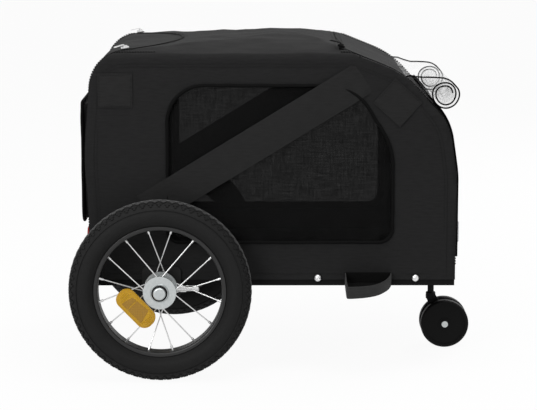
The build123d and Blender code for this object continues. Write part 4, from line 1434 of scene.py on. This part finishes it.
# %% Rain cover path
ROLL = (469.5, 465.3)
HALF = 0.1765
TURNS = [(0, 22.5), (-90, 24.3), (-180, 22.0), (-270, 17.8), (-360, 16.5), (-450, 18.6), (-540, 16.5), (-630, 12.6),
         (-720, 11.3), (-810, 12.8), (-900, 11.3), (-990, 9.0), (-1080, 7.4), (-1170, 7.8), (-1260, 6.0),
         (-1350, 4.0)]


def turn_radius(degrees):
    for (a, r), (b, q) in zip(TURNS, TURNS[1:]):
        if b <= degrees <= a:
            share = (a - degrees) / (a - b)
            share = share * share * (3 - 2 * share)
            return r + (q - r) * share
    return TURNS[-1][1]


brow = 1000 * above(403, 0)[0].z + 1.2
lead = [(403, brow), (407, brow * 0.5 + 495.0 * 0.5), (412, 494.8), (420, 493.2), (431, 492.2), (445, 492.2),
        (458, 491.6), (466, 490.8), (473, 488.6), (479.5, 484.4), (484.9, 478.5)]
flat_path = list(lead)
for i in range(1, 150):
    degrees = 30 - i * 9.2
    radius = turn_radius(min(degrees, 0)) if degrees <= 0 else 21.2 + (30 - degrees) / 30 * 1.3
    angle = math.radians(degrees)
    flat_path.append((ROLL[0] + radius * math.cos(angle), ROLL[1] + radius * math.sin(angle)))
path3 = [at(x, 0, z) for x, z in flat_path]
path3 = evenly(path3, 0.003, closed=False)
bound = evenly([at(x, 0, z) for x, z in flat_path[:len(lead) + 82]], 0.003, closed=False)
print("rain cover strip", round(0.003 * len(path3), 3), "m long")

# %% Rain cover sheet
STATIONS = 44


def sagged(place):
    """The left end of the roll hangs a little lower and further out."""
    share = (place.y / HALF + 1) / 2 * min(max((place.x - at(403, 0, 0).x) / 0.03, 0), 1)
    return place + Vector((0.003, 0, -0.007)) * share


verts, faces = [], []
for i, p in enumerate(path3):
    ahead = path3[min(i + 1, len(path3) - 1)] - path3[max(i - 1, 0)]
    out = Vector((-ahead.z, 0, ahead.x)).normalized()
    for k in range(STATIONS + 1):
        y = -HALF + 2 * HALF * k / STATIONS
        place = sagged(Vector((p.x, y, p.z)))
        rolled = min(max((i - 24) / 14, 0), 1)
        edge = min(1, (HALF - abs(y)) / 0.02)
        crumple = noise.noise(Vector((i * 0.11, y * 26, 1.5)))
        crumple += 0.6 * noise.noise(Vector((i * 0.3, y * 60, 4.5)))
        verts.append(place + out * (0.0014 * rolled + 0.0005) * edge * crumple)
for i in range(len(path3) - 1):
    for k in range(STATIONS):
        a = i * (STATIONS + 1) + k
        faces.append((a, a + 1, a + STATIONS + 2, a + STATIONS + 1))
data = bpy.data.meshes.new("rain")
data.from_pydata(verts, [], faces)
uvs = data.uv_layers.new(name="UVMap")
for loop_item in data.loops:
    row, column = divmod(loop_item.vertex_index, STATIONS + 1)
    uvs.data[loop_item.index].uv = (row * 0.003, 2 * HALF * column / STATIONS)
rain = bpy.data.objects.new("rain", data)
scene.collection.objects.link(rain)
edit(rain)
bpy.ops.mesh.normals_make_consistent(inside=False)
bpy.ops.object.mode_set(mode="OBJECT")
smooth(rain, 180)
settle(rain, "rain_cover_sheet", "front_door_leaf", vinyl, "clear_sheet", "rain_cover_roll")
near_edge = [Vector((p.x, -HALF - 0.0003, p.z)) for p in bound]
far_edge = [sagged(Vector((p.x, HALF + 0.0003, p.z))) for p in bound]
edge = cord_along(near_edge, 0.0013, "edge", closed=False)
twin = cord_along(far_edge, 0.0013, "edge", closed=False)
settle(joined(edge, twin), "rain_cover_binding", "front_door_leaf", binding, "piping")

# %% Tabs under the roll
tabs = []
for side in (-1, 1):
    tab = block((0.014, 0.016, 0.0022), (0, 0, 0), 0.0006, 1)
    tab.matrix_world = Matrix.Translation(at(443.5, side * 170, 454.8)) @ Matrix.Rotation(math.radians(42), 4, "Y")
    tabs.append(set_down(tab))
settle(joined(*tabs), "rain_cover_tabs", "front_door_leaf", webbing, "webbing")
print(len(tabs), "tabs")

# %% [markdown]
# ## Padded pieces
# The flap that covers the rear window and the mat on the floor are padded. Each starts as a slab a little smaller
# than its place, is remeshed evenly, and is blown up by the cloth solver with no gravity. No point may travel
# further than a few millimetres, so the pad stays flat with full edges. One subdivision rounds what is left.

# %% Padding


def pad(name, size, place, voxel, cap, corner, frames=20):
    """A slab blown up by the cloth solver, with each point's travel capped."""
    slab = block(size, place)
    edit(slab, lambda e: abs((e.verts[0].co - e.verts[1].co).normalized().dot(Vector(corner[1]))) > 0.9, "EDGE")
    bpy.ops.mesh.bevel(offset=corner[0], segments=6, affect="EDGES")
    bpy.ops.object.mode_set(mode="OBJECT")
    slab.data.remesh_voxel_size = voxel
    alone(slab)
    bpy.ops.object.voxel_remesh()
    start = [v.co.copy() for v in slab.data.vertices]
    mod = slab.modifiers.new("cloth", "CLOTH")
    mod.settings.quality = 5
    mod.settings.use_pressure = True
    mod.settings.uniform_pressure_force = 4
    mod.settings.effector_weights.gravity = 0
    for frame_number in range(1, frames + 1):
        scene.frame_set(frame_number)
    alone(slab)
    bpy.ops.object.modifier_apply(modifier=mod.name)
    scene.frame_set(1)
    for vertex, home in zip(slab.data.vertices, start):
        travel = vertex.co - home
        if travel.length > cap:
            vertex.co = home + travel.normalized() * cap
    change(slab, "SUBSURF", levels=1, render_levels=1)
    slab.name = name
    return smooth(slab, 180)


# %% Rear window flap
low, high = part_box("rear_window_cover")
low, high = low + Vector((-0.0065, 0, -0.0125)), high + Vector((0, 0, -0.0095))
size = Vector((high.x - low.x - 0.001, high.y - low.y - 0.004, high.z - low.z - 0.004))
flap = pad("rear_flap", size, (low + high) / 2 - Vector((0.0008, 0, 0)), 0.0035, 0.0016, (0.022, (1, 0, 0)))
normals = [v.normal.copy() for v in flap.data.vertices]
for vertex, normal in zip(flap.data.vertices, normals):
    vertex.co += normal * 0.0010 * noise.noise(vertex.co * 16)
    vertex.co.x = min(vertex.co.x, high.x - 0.0002)
spread(flap)
settle(flap, "rear_window_flap", "rear_door_leaf", base_cloth, "trim_fabric", "rear_window_cover")
flap_line = closed_line([(low.y * 1000, low.z * 1000), (low.y * 1000, high.z * 1000), (high.y * 1000, high.z * 1000),
                         (high.y * 1000, low.z * 1000)], [24, 6, 6, 24])
rim_line = [Vector((low.x + 0.0022, y / 1000, z / 1000)) for y, z in flap_line]
flap_edge = cord_along(evenly(rim_line, 0.004), 0.0026, "flap_edge")
settle(flap_edge, "rear_flap_binding", "rear_door_leaf", binding, "piping")
print("rear flap", len(flap.data.polygons), "faces")

# %% Floor mat
low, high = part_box("floor_mat")
size = Vector((high.x - low.x - 0.006, high.y - low.y - 0.006, high.z - low.z - 0.003))
floor_pad = pad("mat", size, (low + high) / 2 - Vector((0, 0, 0.0008)), 0.0055, 0.003, (0.019, (0, 0, 1)))
for vertex in floor_pad.data.vertices:
    co = vertex.co
    if co.z > (low.z + high.z) / 2:
        rib = 0.0012 * abs(math.sin(math.pi * (co.x - low.x) / 0.047)) ** 0.35
        co.z += rib - 0.0012 + 0.0008 * noise.noise(co * 9)
    co.z = max(co.z, low.z + 0.0001)
spread(floor_pad)
settle(floor_pad, "floor_mat_pad", "chassis", mat_cloth, "mat", "floor_mat")
print("mat", len(floor_pad.data.polygons), "faces")

# %% [markdown]
# ## Finishes for the CAD parts that stay
# Tubes, brackets, rims, spokes, hubs and the caster keep their CAD shape. Each gets a finish chosen by the start of
# its name.

# %% Dress the CAD nodes
DRESS = {
    paint: ["base_rail_", "cross_tube_", "side_hoop_", "roof_bar_", "axle_bracket_", "tow_bracket", "caster_bracket"],
    board: ["floor_panel"],
    zinc: ["hub_left", "hub_right", "axle_pin_", "caster_axle"],
    bright: ["axle_lock_", "spokes_"],
    seal: ["hub_seal_"],
    rim_paint: ["rim_"],
    plastic: ["caster_yoke", "caster_wheels"],
}
dressed = 0
for mat, starts in DRESS.items():
    for name, obj in nodes.items():
        if any(name.startswith(start) for start in starts):
            obj.data.materials.clear()
            obj.data.materials.append(mat)
            dressed += 1
hidden = [name for name, obj in nodes.items() if obj.hide_render]
print(dressed, "nodes dressed,", len(hidden), "replaced, of", len(nodes))
print("left over:", [n for n, o in nodes.items() if not o.hide_render and o.data.materials[0] not in DRESS])
